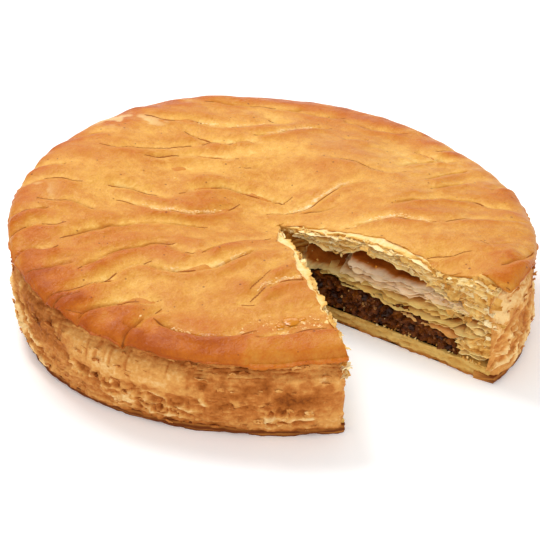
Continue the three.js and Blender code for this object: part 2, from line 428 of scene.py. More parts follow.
def press_in(x, y, heading, face, amount, fade):
    """Moves points near a cut face into the pastry, less and less with depth."""
    weight = np.exp(-np.clip(face.depth_of(x, y), 0, None) / fade)
    weight = weight * own_side(face, heading)
    return x + amount * weight * face.into[0], y + amount * weight * face.into[1]


def roof_underside(along):
    """Height of the lid's underside where the cut shows it."""
    return np.interp(along, [0, 14, 29, 34, 42, 51, 58, 70, 77, 86, 96],
                     [34.6, 34.2, 32.6, 35.4, 38.4, 38.2, 37.3, 35.8, 33.8, 31.4, 29])


# ---- making meshes ----

SHARP_FOLD = math.radians(52)       # a fold sharper than this shows as an edge


class Gathered:
    """Points, faces and values for each point, gathered until they become one piece."""

    def __init__(self):
        self.points = []
        self.faces = []
        self.values = {}
        self.count = 0

    def add(self, points, faces, **values):
        points = np.asarray(points, float).reshape(-1, 3)
        for name in set(self.values) | set(values):
            earlier = self.values.setdefault(name, [np.zeros(self.count)])
            given = values.get(name, 0.0)
            earlier.append(np.broadcast_to(np.asarray(given, float).ravel(), (len(points),))
                           if np.size(given) == 1 else np.asarray(given, float).ravel())
        self.points.append(points)
        self.faces.extend(np.asarray(f) + self.count for f in faces)
        self.count += len(points)

    def piece(self, name, material, slot, replaces=()):
        """Makes the mesh, in metres, and puts it on the frame."""
        points = np.concatenate(self.points) * MM
        mesh = bpy.data.meshes.new(name)
        sizes = np.concatenate([np.full(len(f), f.shape[1]) for f in self.faces])
        loops = np.concatenate([f.ravel() for f in self.faces])
        mesh.vertices.add(len(points))
        mesh.vertices.foreach_set("co", points.astype(np.float32).ravel())
        mesh.loops.add(len(loops))
        mesh.loops.foreach_set("vertex_index", loops.astype(np.int32))
        mesh.polygons.add(len(sizes))
        starts = np.concatenate([[0], np.cumsum(sizes)[:-1]])
        mesh.polygons.foreach_set("loop_start", starts.astype(np.int32))
        mesh.polygons.foreach_set("loop_total", sizes.astype(np.int32))
        mesh.polygons.foreach_set("use_smooth", np.ones(len(sizes), bool))
        mesh.update(calc_edges=True)
        shell = bmesh.new()
        shell.from_mesh(mesh)
        bmesh.ops.recalc_face_normals(shell, faces=shell.faces)
        shell.to_mesh(mesh)
        shell.free()
        mesh.set_sharp_from_angle(angle=SHARP_FOLD)
        for value, chunks in self.values.items():
            stored = mesh.attributes.new(value, "FLOAT", "POINT")
            stored.data.foreach_set("value", np.concatenate(chunks).astype(np.float32))
        mesh.materials.append(material)
        made = bpy.data.objects.new(name, mesh)
        bpy.context.scene.collection.objects.link(made)
        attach(made, "root")
        if replaces:
            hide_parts(*replaces)
        return made


def grid_faces(rows, columns, first=0, flip=False):
    """The quads of a grid of points whose first point has the given number."""
    i = np.arange(rows - 1)[:, None]
    j = np.arange(columns - 1)[None, :]
    a = first + i * columns + j
    quads = np.stack([a, a + 1, a + columns + 1, a + columns], -1).reshape(-1, 4)
    return quads[:, ::-1] if flip else quads


def rim_of_grid(rows, columns):
    """The border of a grid of points, once round."""
    top = np.arange(columns - 1)
    right = np.arange(rows - 1) * columns + columns - 1
    bottom = (rows - 1) * columns + np.arange(columns - 1, 0, -1)
    left = np.arange(rows - 1, 0, -1) * columns
    return np.concatenate([top, right, bottom, left])


def add_sheet(gathered, upper, lower, **values):
    """A closed sheet between two grids of points; values are given for one grid."""
    rows, columns = upper.shape[:2]
    count = rows * columns
    border = rim_of_grid(rows, columns)
    after = np.roll(border, -1)
    side = np.stack([border, border + count, after + count, after], -1)
    faces = [grid_faces(rows, columns), grid_faces(rows, columns, count, flip=True), side]
    both = {k: np.concatenate([np.ravel(v), np.ravel(v)]) for k, v in values.items()}
    gathered.add(np.concatenate([upper.reshape(-1, 3), lower.reshape(-1, 3)]), faces, **both)


def block_skin(n, m, k):
    """The skin of a block of points, n round the pie, m outwards and k upwards: the index arrays
    i, j, l of its points, and its faces."""
    def number(i, j, l):
        return (i * m + j) * k + l

    sides = []
    for axis, size in enumerate((n, m, k)):
        others = [s for a, s in enumerate((n, m, k)) if a != axis]
        p, q = np.meshgrid(np.arange(others[0] - 1), np.arange(others[1] - 1), indexing="ij")
        for index in (0, size - 1):
            corner = []
            for dp, dq in ((0, 0), (1, 0), (1, 1), (0, 1)):
                where = [p + dp, q + dq]
                where.insert(axis, np.full(p.shape, index))
                corner.append(number(*where))
            quads = np.stack(corner, -1).reshape(-1, 4)
            outward = (index > 0) != (axis == 1)
            sides.append(quads if outward else quads[:, ::-1])
    quads = np.concatenate(sides)
    used, renumbered = np.unique(quads, return_inverse=True)
    return used // (m * k), used // k % m, used % k, renumbered.reshape(-1, 4)


def cut_ends(row):
    """Each cut face, with the points of a block's skin that lie on it, from their row numbers."""
    return (FACES[0], row == 0), (FACES[1], row == row.max())


def push_in(x, y, at, face, depth):
    """Moves the chosen points so far into the pastry."""
    x[at] += depth * face.into[0]
    y[at] += depth * face.into[1]


def headings(first_step, step):
    """Headings round the pie from one cut face to the other, close together near the faces."""
    offsets = [0.0]
    size = first_step
    while offsets[-1] < math.radians(40):
        offsets.append(offsets[-1] + math.radians(size))
        size = min(step, size * 1.18)
    near = np.array(offsets)
    count = int((LAST_HEADING - FIRST_HEADING - 2 * near[-1]) / math.radians(step)) + 1
    middle = np.linspace(FIRST_HEADING + near[-1], LAST_HEADING - near[-1], count + 1)[1:-1]
    return np.concatenate([FIRST_HEADING + near, middle, (LAST_HEADING - near)[::-1]])


# ---- materials ----

def colour(hex_code):
    """Linear colour from an sRGB hex value."""
    channels = [int(hex_code[k:k + 2], 16) / 255 for k in (1, 3, 5)]
    linear = [c / 12.92 if c <= 0.04045 else ((c + 0.055) / 1.055) ** 2.4 for c in channels]
    return (*linear, 1.0)


def add_node(tree, kind, settings=None, links=None, **inputs):
    """Adds a node: settings are its own properties, links join sockets, inputs are set values."""
    node = tree.nodes.new(kind)
    for name, value in (settings or {}).items():
        setattr(node, name, value)
    for name, value in inputs.items():
        node.inputs[name.replace("_", " ")].default_value = value
    for name, source in (links or {}).items():
        tree.links.new(source, node.inputs[name])
    return node


def ramp(tree, factor, stops):
    """A colour ramp through (position, hex colour) stops."""
    node = add_node(tree, "ShaderNodeValToRGB", links={0: factor})
    elements = node.color_ramp.elements
    while len(elements) < len(stops):
        elements.new(0.5)
    for element, (position, hex_code) in zip(elements, stops):
        element.position = position
        element.color = colour(hex_code)
    return node.outputs["Color"]


def grain(tree, size_mm, detail=3.0, stretch=(1, 1, 1), distortion=0.0):
    """Noise whose patches are about size_mm across, 0 to 1, in the frame's own axes."""
    where = add_node(tree, "ShaderNodeTexCoord").outputs["Object"]
    scaled = add_node(tree, "ShaderNodeVectorMath", {"operation": "MULTIPLY"}, {0: where})
    scaled.inputs[1].default_value = stretch
    node = add_node(tree, "ShaderNodeTexNoise", links={"Vector": scaled.outputs[0]},
                    Scale=1 / (size_mm * MM), Detail=detail, Roughness=0.55)
    node.inputs["Distortion"].default_value = distortion
    return node.outputs["Fac"]


def stored(tree, name):
    return add_node(tree, "ShaderNodeAttribute", {"attribute_name": name}).outputs["Fac"]


def maths(tree, operation, a, b, clamp=False):
    node = add_node(tree, "ShaderNodeMath", {"operation": operation, "use_clamp": clamp})
    for socket, value in zip(node.inputs, (a, b)):
        if isinstance(value, (int, float)):
            socket.default_value = value
        else:
            tree.links.new(value, socket)
    return node.outputs[0]


def mottled_by(tree, start, textures, less):
    """start plus a share of each (texture, share), less a number, kept between 0 and 1."""
    for texture, share in textures:
        start = maths(tree, "ADD", start, maths(tree, "MULTIPLY", texture, share))
    return maths(tree, "SUBTRACT", start, less, clamp=True)


def blend(tree, factor, under, over):
    node = add_node(tree, "ShaderNodeMix", {"data_type": "RGBA", "blend_type": "MIX"})
    for index, value in ((0, factor), (6, under), (7, over)):
        if isinstance(value, (int, float)):
            node.inputs[index].default_value = value
        elif isinstance(value, str):
            node.inputs[index].default_value = colour(value)
        else:
            tree.links.new(value, node.inputs[index])
    return node.outputs[2]


def bumps(tree, layers):
    """Bump from (height, distance in mm) layers, one on another."""
    normal = None
    for height, distance_mm in layers:
        links = {"Height": height}
        if normal:
            links["Normal"] = normal
        node = add_node(tree, "ShaderNodeBump", links=links, Strength=1.0, Distance=distance_mm * MM)
        normal = node.outputs["Normal"]
    return normal


def new_material(name):
    material = bpy.data.materials.new(name)
    material.use_nodes = True
    material.node_tree.nodes.clear()
    return material, material.node_tree


def finish(tree, base, rough_input, normal, **settings):
    """The shader and the output; settings are uniform values of the shader's own sockets."""
    shader = add_node(tree, "ShaderNodeBsdfPrincipled", links={"Base Color": base, "Normal": normal})
    if isinstance(rough_input, (int, float)):
        shader.inputs["Roughness"].default_value = rough_input
    else:
        tree.links.new(rough_input, shader.inputs["Roughness"])
    for name, value in settings.items():
        shader.inputs[name.replace("_", " ")].default_value = value
    add_node(tree, "ShaderNodeOutputMaterial", links={"Surface": shader.outputs[0]})


def egg_glazed_crust():
    """Puff pastry brushed with beaten egg and baked: the swollen parts brown first, the grooves
    stay straw-coloured, and the egg dries to a thin, uneven gloss. Pale painted highlights lie
    along some cuts, and the swells' tone also carries painted shade."""
    material, tree = new_material("egg_glazed_crust")
    blotches, freckles, fine = grain(tree, 11, 3), grain(tree, 3.2, 4), grain(tree, 0.9, 3)
    bake = mottled_by(tree, stored(tree, "bake"), [(blotches, 0.3), (freckles, 0.4), (fine, 0.3)], 0.5)
    base = ramp(tree, bake, [(0.0, "#EFC878"), (0.18, "#DFA64A"), (0.42, "#CA832A"),
                             (0.68, "#BE660F"), (1.0, "#A64C04")])
    groove = maths(tree, "MULTIPLY", stored(tree, "groove"), 0.7, clamp=True)
    base = blend(tree, groove, base, "#A65A18")
    base = blend(tree, maths(tree, "MULTIPLY", stored(tree, "bare"), 0.7), base, "#E8C486")
    # Painted highlight: along the shiny egg streaks the colour is lifted towards pale cream.
    egg_shine_and_painted_highlight = maths(tree, "MULTIPLY", stored(tree, "shine"), grain(tree, 1.2, 2))
    base = blend(tree, maths(tree, "SUBTRACT", egg_shine_and_painted_highlight, 0.22, clamp=True), base, "#FFF0CC")
    # Poppy-sized scorched specks, a few to the square centimetre.
    specks = add_node(tree, "ShaderNodeTexVoronoi", {"feature": "F1"},
                      {"Vector": add_node(tree, "ShaderNodeTexCoord").outputs["Object"]},
                      Scale=1 / (4.2 * MM), Randomness=1.0)
    size = maths(tree, "MULTIPLY", specks.outputs["Color"], 0.18)
    mark = maths(tree, "LESS_THAN", specks.outputs["Distance"], maths(tree, "SUBTRACT", size, 0.03))
    base = blend(tree, maths(tree, "MULTIPLY", mark, 0.7), base, "#7A3400")
    dull = maths(tree, "ADD", maths(tree, "MULTIPLY", grain(tree, 6, 2), 0.4), 0.18)
    gloss = maths(tree, "SUBTRACT", dull, maths(tree, "MULTIPLY", stored(tree, "shine"), 0.5), clamp=True)
    normal = bumps(tree, [(grain(tree, 5, 3), 0.6), (grain(tree, 1.7, 3), 0.46),
                          (grain(tree, 0.6, 2), 0.24)])
    finish(tree, base, gloss, normal, IOR=1.45, Specular_IOR_Level=0.22)
    return material


def layered_pastry(name, tones, layer_mm):
    """Risen butter layers: dry and matt, pale at their edges and toasted in between."""
    material, tree = new_material(name)
    layers = grain(tree, layer_mm, 5, (1, 1, 1.3), 0.3)
    toast = mottled_by(tree, stored(tree, "bake"), [(layers, 0.3), (grain(tree, 1.6, 4), 0.5)], 0.4)
    base = ramp(tree, toast, list(zip((0.0, 0.25, 0.5, 0.75, 1.0), tones)))
    normal = bumps(tree, [(layers, 0.4), (grain(tree, 1.6, 3, (1, 1, 2)), 0.42),
                          (grain(tree, 0.6, 2), 0.2)])
    finish(tree, base, 0.68, normal, IOR=1.42, Specular_IOR_Level=0.12)
    return material


def flaky_wall():
    """The risen wall, browned by the oven's air; its darker tones also carry painted shade under the lid's
    edge and in the wall's recesses.
    """
    return layered_pastry("flaky_wall", ("#F2CC8C", "#DA9C52", "#BE7434", "#A0581E", "#5E280A"), 6)


def flaky_crumb():
    """The same layers where the knife opened them: butter-yellow, hardly browned; the darker tones at the
    back of the hollows are painted shade.
    """
    return layered_pastry("flaky_crumb", ("#F6E0AE", "#F0CA7C", "#DDA652", "#C07622", "#74390E"), 5)


def browned_seam():
    """Bare dough at the bottom of a knife cut: no glaze reached it, so it baked dark and matt."""
    material, tree = new_material("browned_seam")
    base = ramp(tree, grain(tree, 4, 3), [(0.3, "#A8622A"), (0.7, "#8A4A1A")])
    finish(tree, base, 0.75, bumps(tree, [(grain(tree, 0.6, 2), 0.08)]), Specular_IOR_Level=0.1)
    return material


def egg_glaze():
    """Beaten egg dried thick: clear straw to amber, and the shiniest thing on the pie."""
    material, tree = new_material("egg_glaze")
    tone = maths(tree, "ADD", stored(tree, "tint"), maths(tree, "MULTIPLY", grain(tree, 2, 2), 0.2))
    base = ramp(tree, tone, [(0.1, "#F2CE92"), (0.5, "#E4AA58"), (1.0, "#C67A00")])
    finish(tree, base, 0.14, bumps(tree, [(grain(tree, 0.8, 2), 0.1)]), IOR=1.5, Specular_IOR_Level=0.32)
    return material


def butter_leaf():
    """Single leaves of the risen pastry: thin, smooth and a little waxy, cream at the edge, toasted at
    some fronts, and darker towards the back of a hollow, which is painted shade."""
    material, tree = new_material("butter_leaf")
    tint = mottled_by(tree, stored(tree, "tint"), [(grain(tree, 6, 3), 0.25)], 0.12)
    fresh = ramp(tree, tint, [(0.0, "#FFE4C2"), (0.5, "#FCE4A2"), (1.0, "#F0D07A")])
    # The stored bake holds a front edge's toast and, further back, painted shade.
    toast = mottled_by(tree, stored(tree, "bake"), [(grain(tree, 3, 3), 0.24)], 0.12)
    toasted = ramp(tree, toast, [(0.0, "#F0AC5C"), (0.45, "#DC8A34"), (0.8, "#B4601C"),
                                 (1.0, "#5A2206")])
    base = blend(tree, maths(tree, "MULTIPLY", toast, 1.6, clamp=True), fresh, toasted)
    normal = bumps(tree, [(grain(tree, 2.2, 3), 0.25), (grain(tree, 0.6, 2), 0.08)])
    finish(tree, base, 0.55, normal, IOR=1.42, Specular_IOR_Level=0.15, Subsurface_Weight=0.1,
           Subsurface_Scale=0.0015, Subsurface_Radius=(1.0, 0.6, 0.3))
    return material


def fruit_crumb():
    """A moist crumb of ground nuts and dried fruit, dark brown with sticky glints."""
    material, tree = new_material("fruit_crumb")
    mottle = mottled_by(tree, stored(tree, "tint"), [(grain(tree, 2.6, 5), 0.7)], 0.3)
    base = ramp(tree, mottle, [(0.0, "#2A1104"), (0.35, "#54270A"), (0.6, "#7A4011"),
                               (0.85, "#9A5C1E"), (1.0, "#B88034")])
    gloss = ramp(tree, grain(tree, 1.8, 2), [(0.3, "#5A5A5A"), (0.7, "#B0B0B0")])
    normal = bumps(tree, [(grain(tree, 1.5, 5), 0.7), (grain(tree, 0.5, 2), 0.2)])
    finish(tree, base, gloss, normal, IOR=1.45, Specular_IOR_Level=0.14)
    return material


def dried_fruit():
    """Near-black raisins: wrinkled skin with a sticky shine."""
    material, tree = new_material("dried_fruit")
    base = ramp(tree, grain(tree, 2, 3), [(0.2, "#1A0A03"), (0.8, "#401B08")])
    normal = bumps(tree, [(grain(tree, 1.1, 2), 0.4)])
    finish(tree, base, 0.4, normal, IOR=1.46, Specular_IOR_Level=0.25)
    return material


def chopped_nut():
    """Chopped nuts: pale cut sides and light brown skins."""
    material, tree = new_material("chopped_nut")
    base = ramp(tree, stored(tree, "tint"), [(0.0, "#5A3010"), (0.5, "#8A5524"), (1.0, "#BF8E4C")])
    normal = bumps(tree, [(grain(tree, 0.7, 2), 0.12)])
    finish(tree, base, 0.5, normal, IOR=1.45, Specular_IOR_Level=0.4)
    return material


def base_pastry():
    """The bottom sheet: dense, damp and straw-coloured above, baked brown where it met the tray."""
    material, tree = new_material("base_pastry")
    toast = mottled_by(tree, stored(tree, "bake"), [(grain(tree, 5, 4, (1, 1, 4)), 0.4)], 0.2)
    base = ramp(tree, toast, [(0.0, "#EACB7E"), (0.3, "#D9AC5A"), (0.6, "#B87732"), (1.0, "#6E340E")])
    normal = bumps(tree, [(grain(tree, 2.5, 4, (1, 1, 3)), 0.35), (grain(tree, 0.6, 2), 0.12)])
    finish(tree, base, 0.64, normal, IOR=1.42, Specular_IOR_Level=0.15)
    return material


# ---- the pieces ----

PAST_THE_END = 9    # larger than any share


def zip_between(left, right, left_share, right_share):
    """Triangles between two lines of points that run side by side."""
    triangles = []
    i = j = 0
    while i < len(left) - 1 or j < len(right) - 1:
        left_next = left_share[i + 1] if i < len(left) - 1 else PAST_THE_END
        right_next = right_share[j + 1] if j < len(right) - 1 else PAST_THE_END
        if left_next <= right_next:
            triangles.append((left[i], left[i + 1], right[j]))
            i += 1
        else:
            triangles.append((left[i], right[j + 1], right[j]))
            j += 1
    return np.array(triangles)


def add_ring(gathered, loops, front_count, shares, **values):
    """A closed ring: loops[i] is the outline at one heading, its first front_count points run
    along the front and the rest come back along the rear."""
    rows, columns = loops.shape[:2]
    i = np.arange(rows - 1)[:, None]
    j = np.arange(columns)[None, :]
    after = (j + 1) % columns
    quads = np.stack([i * columns + j, i * columns + after, (i + 1) * columns + after,
                      (i + 1) * columns + j], -1).reshape(-1, 4)
    front = np.arange(front_count)
    rear = np.arange(columns - 1, front_count - 1, -1)
    cap = zip_between(front, rear, shares[:front_count], shares[front_count:][::-1])
    last = (rows - 1) * columns
    gathered.add(loops, [quads, cap[:, ::-1], cap + last], **values)


def set_back(face, along):
    """How far the glazed skin has crumbled back from a cut face."""
    torn = 4.6 * np.exp(-((along - 52) / 14) ** 2) + 3.6 * np.exp(-((along - 21) / 8) ** 2)
    ragged = 1.6 + torn + 1.4 * noise(along / 9, 3, seed=71 + len(face.name))
    ragged = ragged + 0.9 * noise(along / 3, 5, seed=72) + 0.35 * noise(along / 1.1, 7, seed=73)
    return np.clip(ragged * smooth(along, 0, 12) + 0.6, 0.3, 7.5)


def front_plate(x, y):
    """1 where a loose plate of crust sits proud at the front rim."""
    u, v = score_axes(x, y)
    return smooth(u + 9.5 + 0.8 * noise(v / 3, 1, seed=41), -0.7, 0.7) * smooth(-v, 90, 104)


def make_crust(material):
    """The lid's glazed skin: its top, the edge that laps over the wall, and its underside."""
    turn = headings(0.18, 0.5)
    # The steps outwards are closer together where the shoulder turns down.
    share = np.concatenate([np.linspace(0.003, 0.87, 84), np.linspace(0.87, 1, 31)[1:]])
    phi, t = np.meshgrid(turn, share, indexing="ij")
    along = t * reach(phi)
    x, y = place(phi, along)
    for face in FACES:
        x, y = press_in(x, y, phi, face, set_back(face, along), 8)
    z, groove, swelling_and_painted_shade, shine = lid_top(x, y)
    radius = np.hypot(x - CENTRE[0], y - CENTRE[1])
    angle = angle_about_centre(x, y)
    inset = RIM_RADIUS * outline(angle) - radius
    plate = front_plate(x, y)
    z = z + 1.5 * plate * smooth(inset, -2, 2)
    for face in FACES:
        edge = np.exp(-np.clip(face.depth_of(x, y), 0, None) / 3.5)
        edge = edge * own_side(face, phi)
        z = z - edge * (0.25 + 0.35 * noise(along / 4, 2, seed=44))
    # Browner where it is swollen, partly from baking and partly as painted shade on the swell to the right
    # of each cut, which faces the viewer; and towards the rim, most of all where v is high or u and v are
    # low.
    u, v = score_axes(x, y)
    brown = 0.34 - 0.0003 * v + 0.25 * swelling_and_painted_shade
    rim_brown = np.exp(-(np.clip(inset, 0, None) / 15) ** 1.5)
    darkest = np.exp(-((np.arctan2(v, u) + math.radians(130)) / 0.6) ** 2)
    mottled = 1 + 0.7 * noise(u / 8, v / 6, seed=42)
    brown = brown + rim_brown * (0.12 + 0.32 * darkest + 0.36 * smooth(v, 20, 70)) * mottled
    brown = brown + 0.10 * noise(u / 30, v / 18, seed=45)
    for (spot_u, spot_v), size, dark in SCORCHES:
        away = ((u - spot_u) ** 2 + 2.2 * (v - spot_v) ** 2) / size ** 2
        brown = brown + 0.8 * dark * np.exp(-away) * (1 + 0.6 * noise(u / 2.5, v / 2.5, seed=43))
    pale = smooth(0.5 + noise(u / 9, v / 6, seed=46) + noise(u / 3, v / 2.4, seed=47) * 0.6, 0.62, 1.0)
    ragged_patch = np.exp(-((u + 66) / 15) ** 2 - ((v - 66) / 7) ** 2)
    ragged_patch = np.maximum(ragged_patch, np.exp(-((u + 99) / 5) ** 2 - ((v + 4) / 8) ** 2))
    bare = pale * np.clip(ragged_patch * 1.5, 0, 1)

    # The edge turns down over the wall, then the skin's underside comes back inwards.
    rim_x, rim_y, rim_z = x[:, -1], y[:, -1], z[:, -1]
    out = np.stack([rim_x - CENTRE[0], rim_y - CENTRE[1]], -1)
    out = out / np.hypot(out[:, 0], out[:, 1])[:, None]
    proud = 1.3 * plate[:, -1]
    skirt = 1.0 + 0.5 * noise(turn * 14, 1, seed=48) + 0.5 * noise(turn * 44, 2, seed=49)
    skirt = skirt + proud
    wavy = 0.6 * noise(turn * 17, 3, seed=50) + 0.4 * noise(turn * 60, 4, seed=51) + proud
    columns = [np.stack([x, y, z], -1)]
    lap = ((0.2, 0.45), (0.45, 0.6), (0.7, 0.5), (0.9, 0.2), (1.0, -0.4), (0.85, -1.8))
    for down, outwards in lap:
        spot = np.stack([rim_x + out[:, 0] * (outwards + wavy * (1 - down * 0.4)),
                         rim_y + out[:, 1] * (outwards + wavy * (1 - down * 0.4)),
                         rim_z - down * skirt], -1)
        columns.append(spot[:, None])
    under = np.array([108, 102, 94, 84, 70, 56, 42, 28, 14, 0])     # steps of the top it follows back
    columns.append(np.stack([x[:, under], y[:, under], z[:, under] - CRUST], -1))
    loops = np.concatenate(columns, axis=1)
    front_count = len(share) + len(lap)
    shares = np.concatenate([share, 1 + 0.001 * np.arange(len(lap)), share[under]])

    def all_round(value, edge, below):
        """A value on top of the skin, carried on over its edge and underneath."""
        lapped = np.repeat(value[:, -1:] + edge, len(lap), axis=1)
        return np.concatenate([value, lapped, np.full((len(turn), len(under)), below)], axis=1)

    gathered = Gathered()
    add_ring(gathered, loops, front_count, shares, bake=all_round(np.clip(brown, 0, 1), 0.16, 0.5),
             groove=all_round(np.clip(groove, 0, 1), 0, 0), bare=all_round(bare, 0, 0),
             shine=all_round(shine, 0, 0))
    return gathered.piece("glazed_crust", material, "glazed_puff_pastry")


RISEN_LAYER = 1.35          # thickness of one layer of the wall
BUBBLE = (7.6, 5.0)         # width and height of the lower wall's bubbles
SMALL_BUBBLE = (3.7, 2.7)


def wall_relief(arc, z, lip):
    """How far the risen layers stand out of the wall, and how toasted each place is, with painted shade
    under the lip, under the ledge and in the recesses.
    """
    below = lip - z
    drift = 1.9 * noise(arc / 31, z / 18, seed=81) + 0.7 * noise(arc / 10, z / 6, seed=82)
    level = (z + drift) / RISEN_LAYER
    layer = np.floor(level)
    part = level - layer
    stand = 0.6 * noise(arc / 13, layer * 3.7, seed=83) + 0.45 * noise(arc / 4.2, layer * 5.3, seed=84)
    body = 1 - np.abs(2 * part - 1) ** 3
    fused = smooth(noise(arc / 9, layer * 2.1, seed=85), -0.5, 0.25)
    gap = (1 - body) * (1 - 0.8 * fused)
    top_band = 1 - smooth(below, 7, 10)
    layers = stand * (0.22 + 0.8 * top_band) - gap * (0.12 + 0.9 * top_band)

    warp = 2.6 * noise(arc / 14, z / 9, seed=86) + 1.4 * noise(arc / 4, z / 3.5, seed=76)
    rise = 1.6 * noise(arc / 8, z / 5, seed=87)
    bubble, number = cells((arc + warp) / BUBBLE[0], (z + rise) / BUBBLE[1], seed=88)
    strand = smooth(bubble + 0.10 * noise(arc / 2.2, z / 2.2, seed=73), 0.34, 0.62)
    small_bubble, _ = cells((arc + 0.6 * warp) / SMALL_BUBBLE[0], z / SMALL_BUBBLE[1], seed=70)
    small_strand = smooth(small_bubble, 0.3, 0.6) * smooth(noise(arc / 12, z / 7, seed=69), -0.3, 0.3)
    strand = np.maximum(strand * smooth(noise(arc / 9, z / 6, seed=68), -0.9, -0.1), 0.8 * small_strand)
    web_band = smooth(below, 15, 20) * smooth(z, 4, 7)
    web_band = web_band * smooth(noise(arc / 17, z / 9, seed=89), -0.6, 0.0)
    webbing = (strand - 0.5) * 1.9 + 0.4 * number + 0.35 * noise(arc / 2.1, z / 1.6, seed=75)
    blister = 1.1 * noise(arc / 9, z / 6, seed=90) + 0.8 * noise(arc / 3.8, z / 3.2, seed=91)
    ledge = smooth(noise(arc / 26, 2, seed=80), -0.5, 0.1)
    undercut = np.exp(-((below - 18.5 + 1.5 * noise(arc / 12, 3, seed=77)) / 2.6) ** 2) * ledge
    spongy = smooth(np.cos(arc / RIM_RADIUS - math.radians(190)), 0.45, 0.9)
    pits = np.abs(noise(arc / 2.3, z / 1.5, seed=98)) ** 0.6
    out = layers * (1 - 0.9 * web_band) + webbing * web_band + 0.6 * blister
    out = out - 0.9 * undercut + 0.5 * ledge * np.exp(-((below - 12) / 4) ** 2)
    out = out + 0.24 * noise(arc / 1.3, z / 1.0, seed=92) + spongy * (pits - 0.6) * 1.1

    # The undercut term is painted shade below the ledge.
    toast = 0.41 + (0.05 + 0.42 * top_band) * gap - 0.05 * stand - 0.06 * top_band + 0.10 * undercut
    middle = np.exp(-((below - 13) / 4.5) ** 2)
    mottle = 0.3 * noise(arc / 8, z / 6, seed=93) + 0.24 * noise(arc / 2.8, z / 2.4, seed=72)
    toast = toast + middle * (0.2 + 0.75 * mottle)
    webbed = 0.54 - 0.36 * strand + 0.10 * number + 0.1 * noise(arc / 3, z / 2, seed=74)
    toast = mix(toast, webbed, web_band)
    # Darker at the foot, and just under the lip, where the pressed layers are browner and painted shade
    # stands for the lid's overhang.
    toast = toast + 0.3 * (1 - smooth(z, 2.5, 4.5)) + 0.34 * np.exp(-(below / 4.6) ** 2)
    # Random tone, plus painted shade and painted light: darker where the wall sinks in, paler where it
    # stands out.
    toast = toast + 0.14 * noise(arc / 30, z / 16, seed=94) - 0.13 * np.clip(out, -1.5, 1.5)
    panel = smooth(np.cos(arc / RIM_RADIUS + 2.72), 0.955, 0.985) * np.exp(-((below - 12) / 6.5) ** 4)
    cracks = smooth(noise((arc + 0.5 * noise(arc / 3, z / 3, seed=99)) / 1.5, z / 14, seed=100), 0.35, 0.8)
    out = mix(out, 0.9 + 0.4 * noise(arc / 6, z / 12, seed=78) - 0.4 * cracks, 0.85 * panel)
    toast = mix(toast, 0.16 + 0.3 * cracks + 0.1 * noise(arc / 5, z / 5, seed=79), 0.85 * panel)
    return out, toast


def left_share(angle):
    """1 at the pie's left side, 0 opposite it, and even between."""
    return 0.5 + 0.5 * wave(angle, 1, math.radians(175))


def wall_offset(angle, z, lip):
    """How far the wall's even shape lies outside the rim's outline."""
    t = np.clip(z / lip, 0, 1)
    belly = 1.9 * np.sin(math.pi * np.minimum(1, 1.4 * t))
    left = left_share(angle)
    crease = (1.9 + 2.2 * left) * np.exp(-((t - 0.86) / 0.085) ** 2)
    return mix(-FOOT_INSET, -0.9, t) - left * 2.0 * (1 - t) ** 2 + belly - crease


def make_wall(material):
    """The flaky side wall; its rear is plain, as nothing shows it."""
    turn = headings(0.3, 0.39)
    turn = mix(FIRST_HEADING + 0.008, LAST_HEADING - 0.008, (turn - turn[0]) / (turn[-1] - turn[0]))
    level = np.linspace(0, 1, 80)
    phi, t = np.meshgrid(turn, level, indexing="ij")
    edge_x, edge_y = place(phi, reach(phi))
    angle = angle_about_centre(edge_x, edge_y)
    lip = lip_height(angle)
    z = mix(2.6 + 0.5 * noise(phi * 9, 1, seed=95), lip + 0.9, t)
    arc = np.unwrap(angle, axis=0) * RIM_RADIUS
    out, toast = wall_relief(arc, z, lip)
    tucked = smooth(lip - z, 1.6, 3.6)
    out = out * tucked - 2.7 * (1 - tucked)
    # Painted shade: darker in the gap tucked under the lid's skirt.
    toast = toast + 0.35 * (1 - tucked)
    for face, width, paler in zip(FACES, (0.5, 0.14), (0.22, 0.18)):
        toast = toast - paler * np.exp(-(from_face(face, phi) / width) ** 2)
    corner = np.exp(-(from_face(FACES[0], phi) / 0.14) ** 2)
    toast = toast - 0.5 * corner * smooth(z, 24, 34)
    along = reach(phi) + wall_offset(angle, z, lip) + out
    for face in FACES:
        corner = np.exp(-from_face(face, phi) * along / 3.0)
        along = along - 2.3 * corner * (1 + 0.6 * noise(z / 3, 8, seed=67))
    x, y = place(phi, along)
    for face in FACES:
        back = 0.9 + 1.1 * noise(z / 2.1, 4, seed=96) + 0.6 * noise(z / 0.8, 6, seed=97)
        x, y = press_in(x, y, phi, face, np.clip(back, 0, 4), 4)
    front = np.stack([x, y, z], -1)
    rear = []
    inner_levels = np.linspace(len(level) - 1, 0, 5).astype(int)
    for row in inner_levels:
        rear_along = reach(turn) + wall_offset(angle[:, row], z[:, row], lip[:, row]) - WALL_THICKNESS
        rx, ry = place(turn, rear_along)
        rear.append(np.stack([rx, ry, z[:, row]], -1)[:, None])
    loops = np.concatenate([front] + rear, axis=1)
    shares = np.concatenate([level, level[inner_levels]])
    rear_toast = np.full((len(turn), len(inner_levels)), 0.4)
    bake = np.concatenate([np.clip(toast, 0, 0.8), rear_toast], axis=1)
    gathered = Gathered()
    add_ring(gathered, loops, len(level), shares, bake=bake)
    return gathered.piece("side_wall", material, "glazed_puff_pastry")


HOLLOW_END = 92         # how far along the cut faces the hollows run
HOLLOW_DEPTH = 21


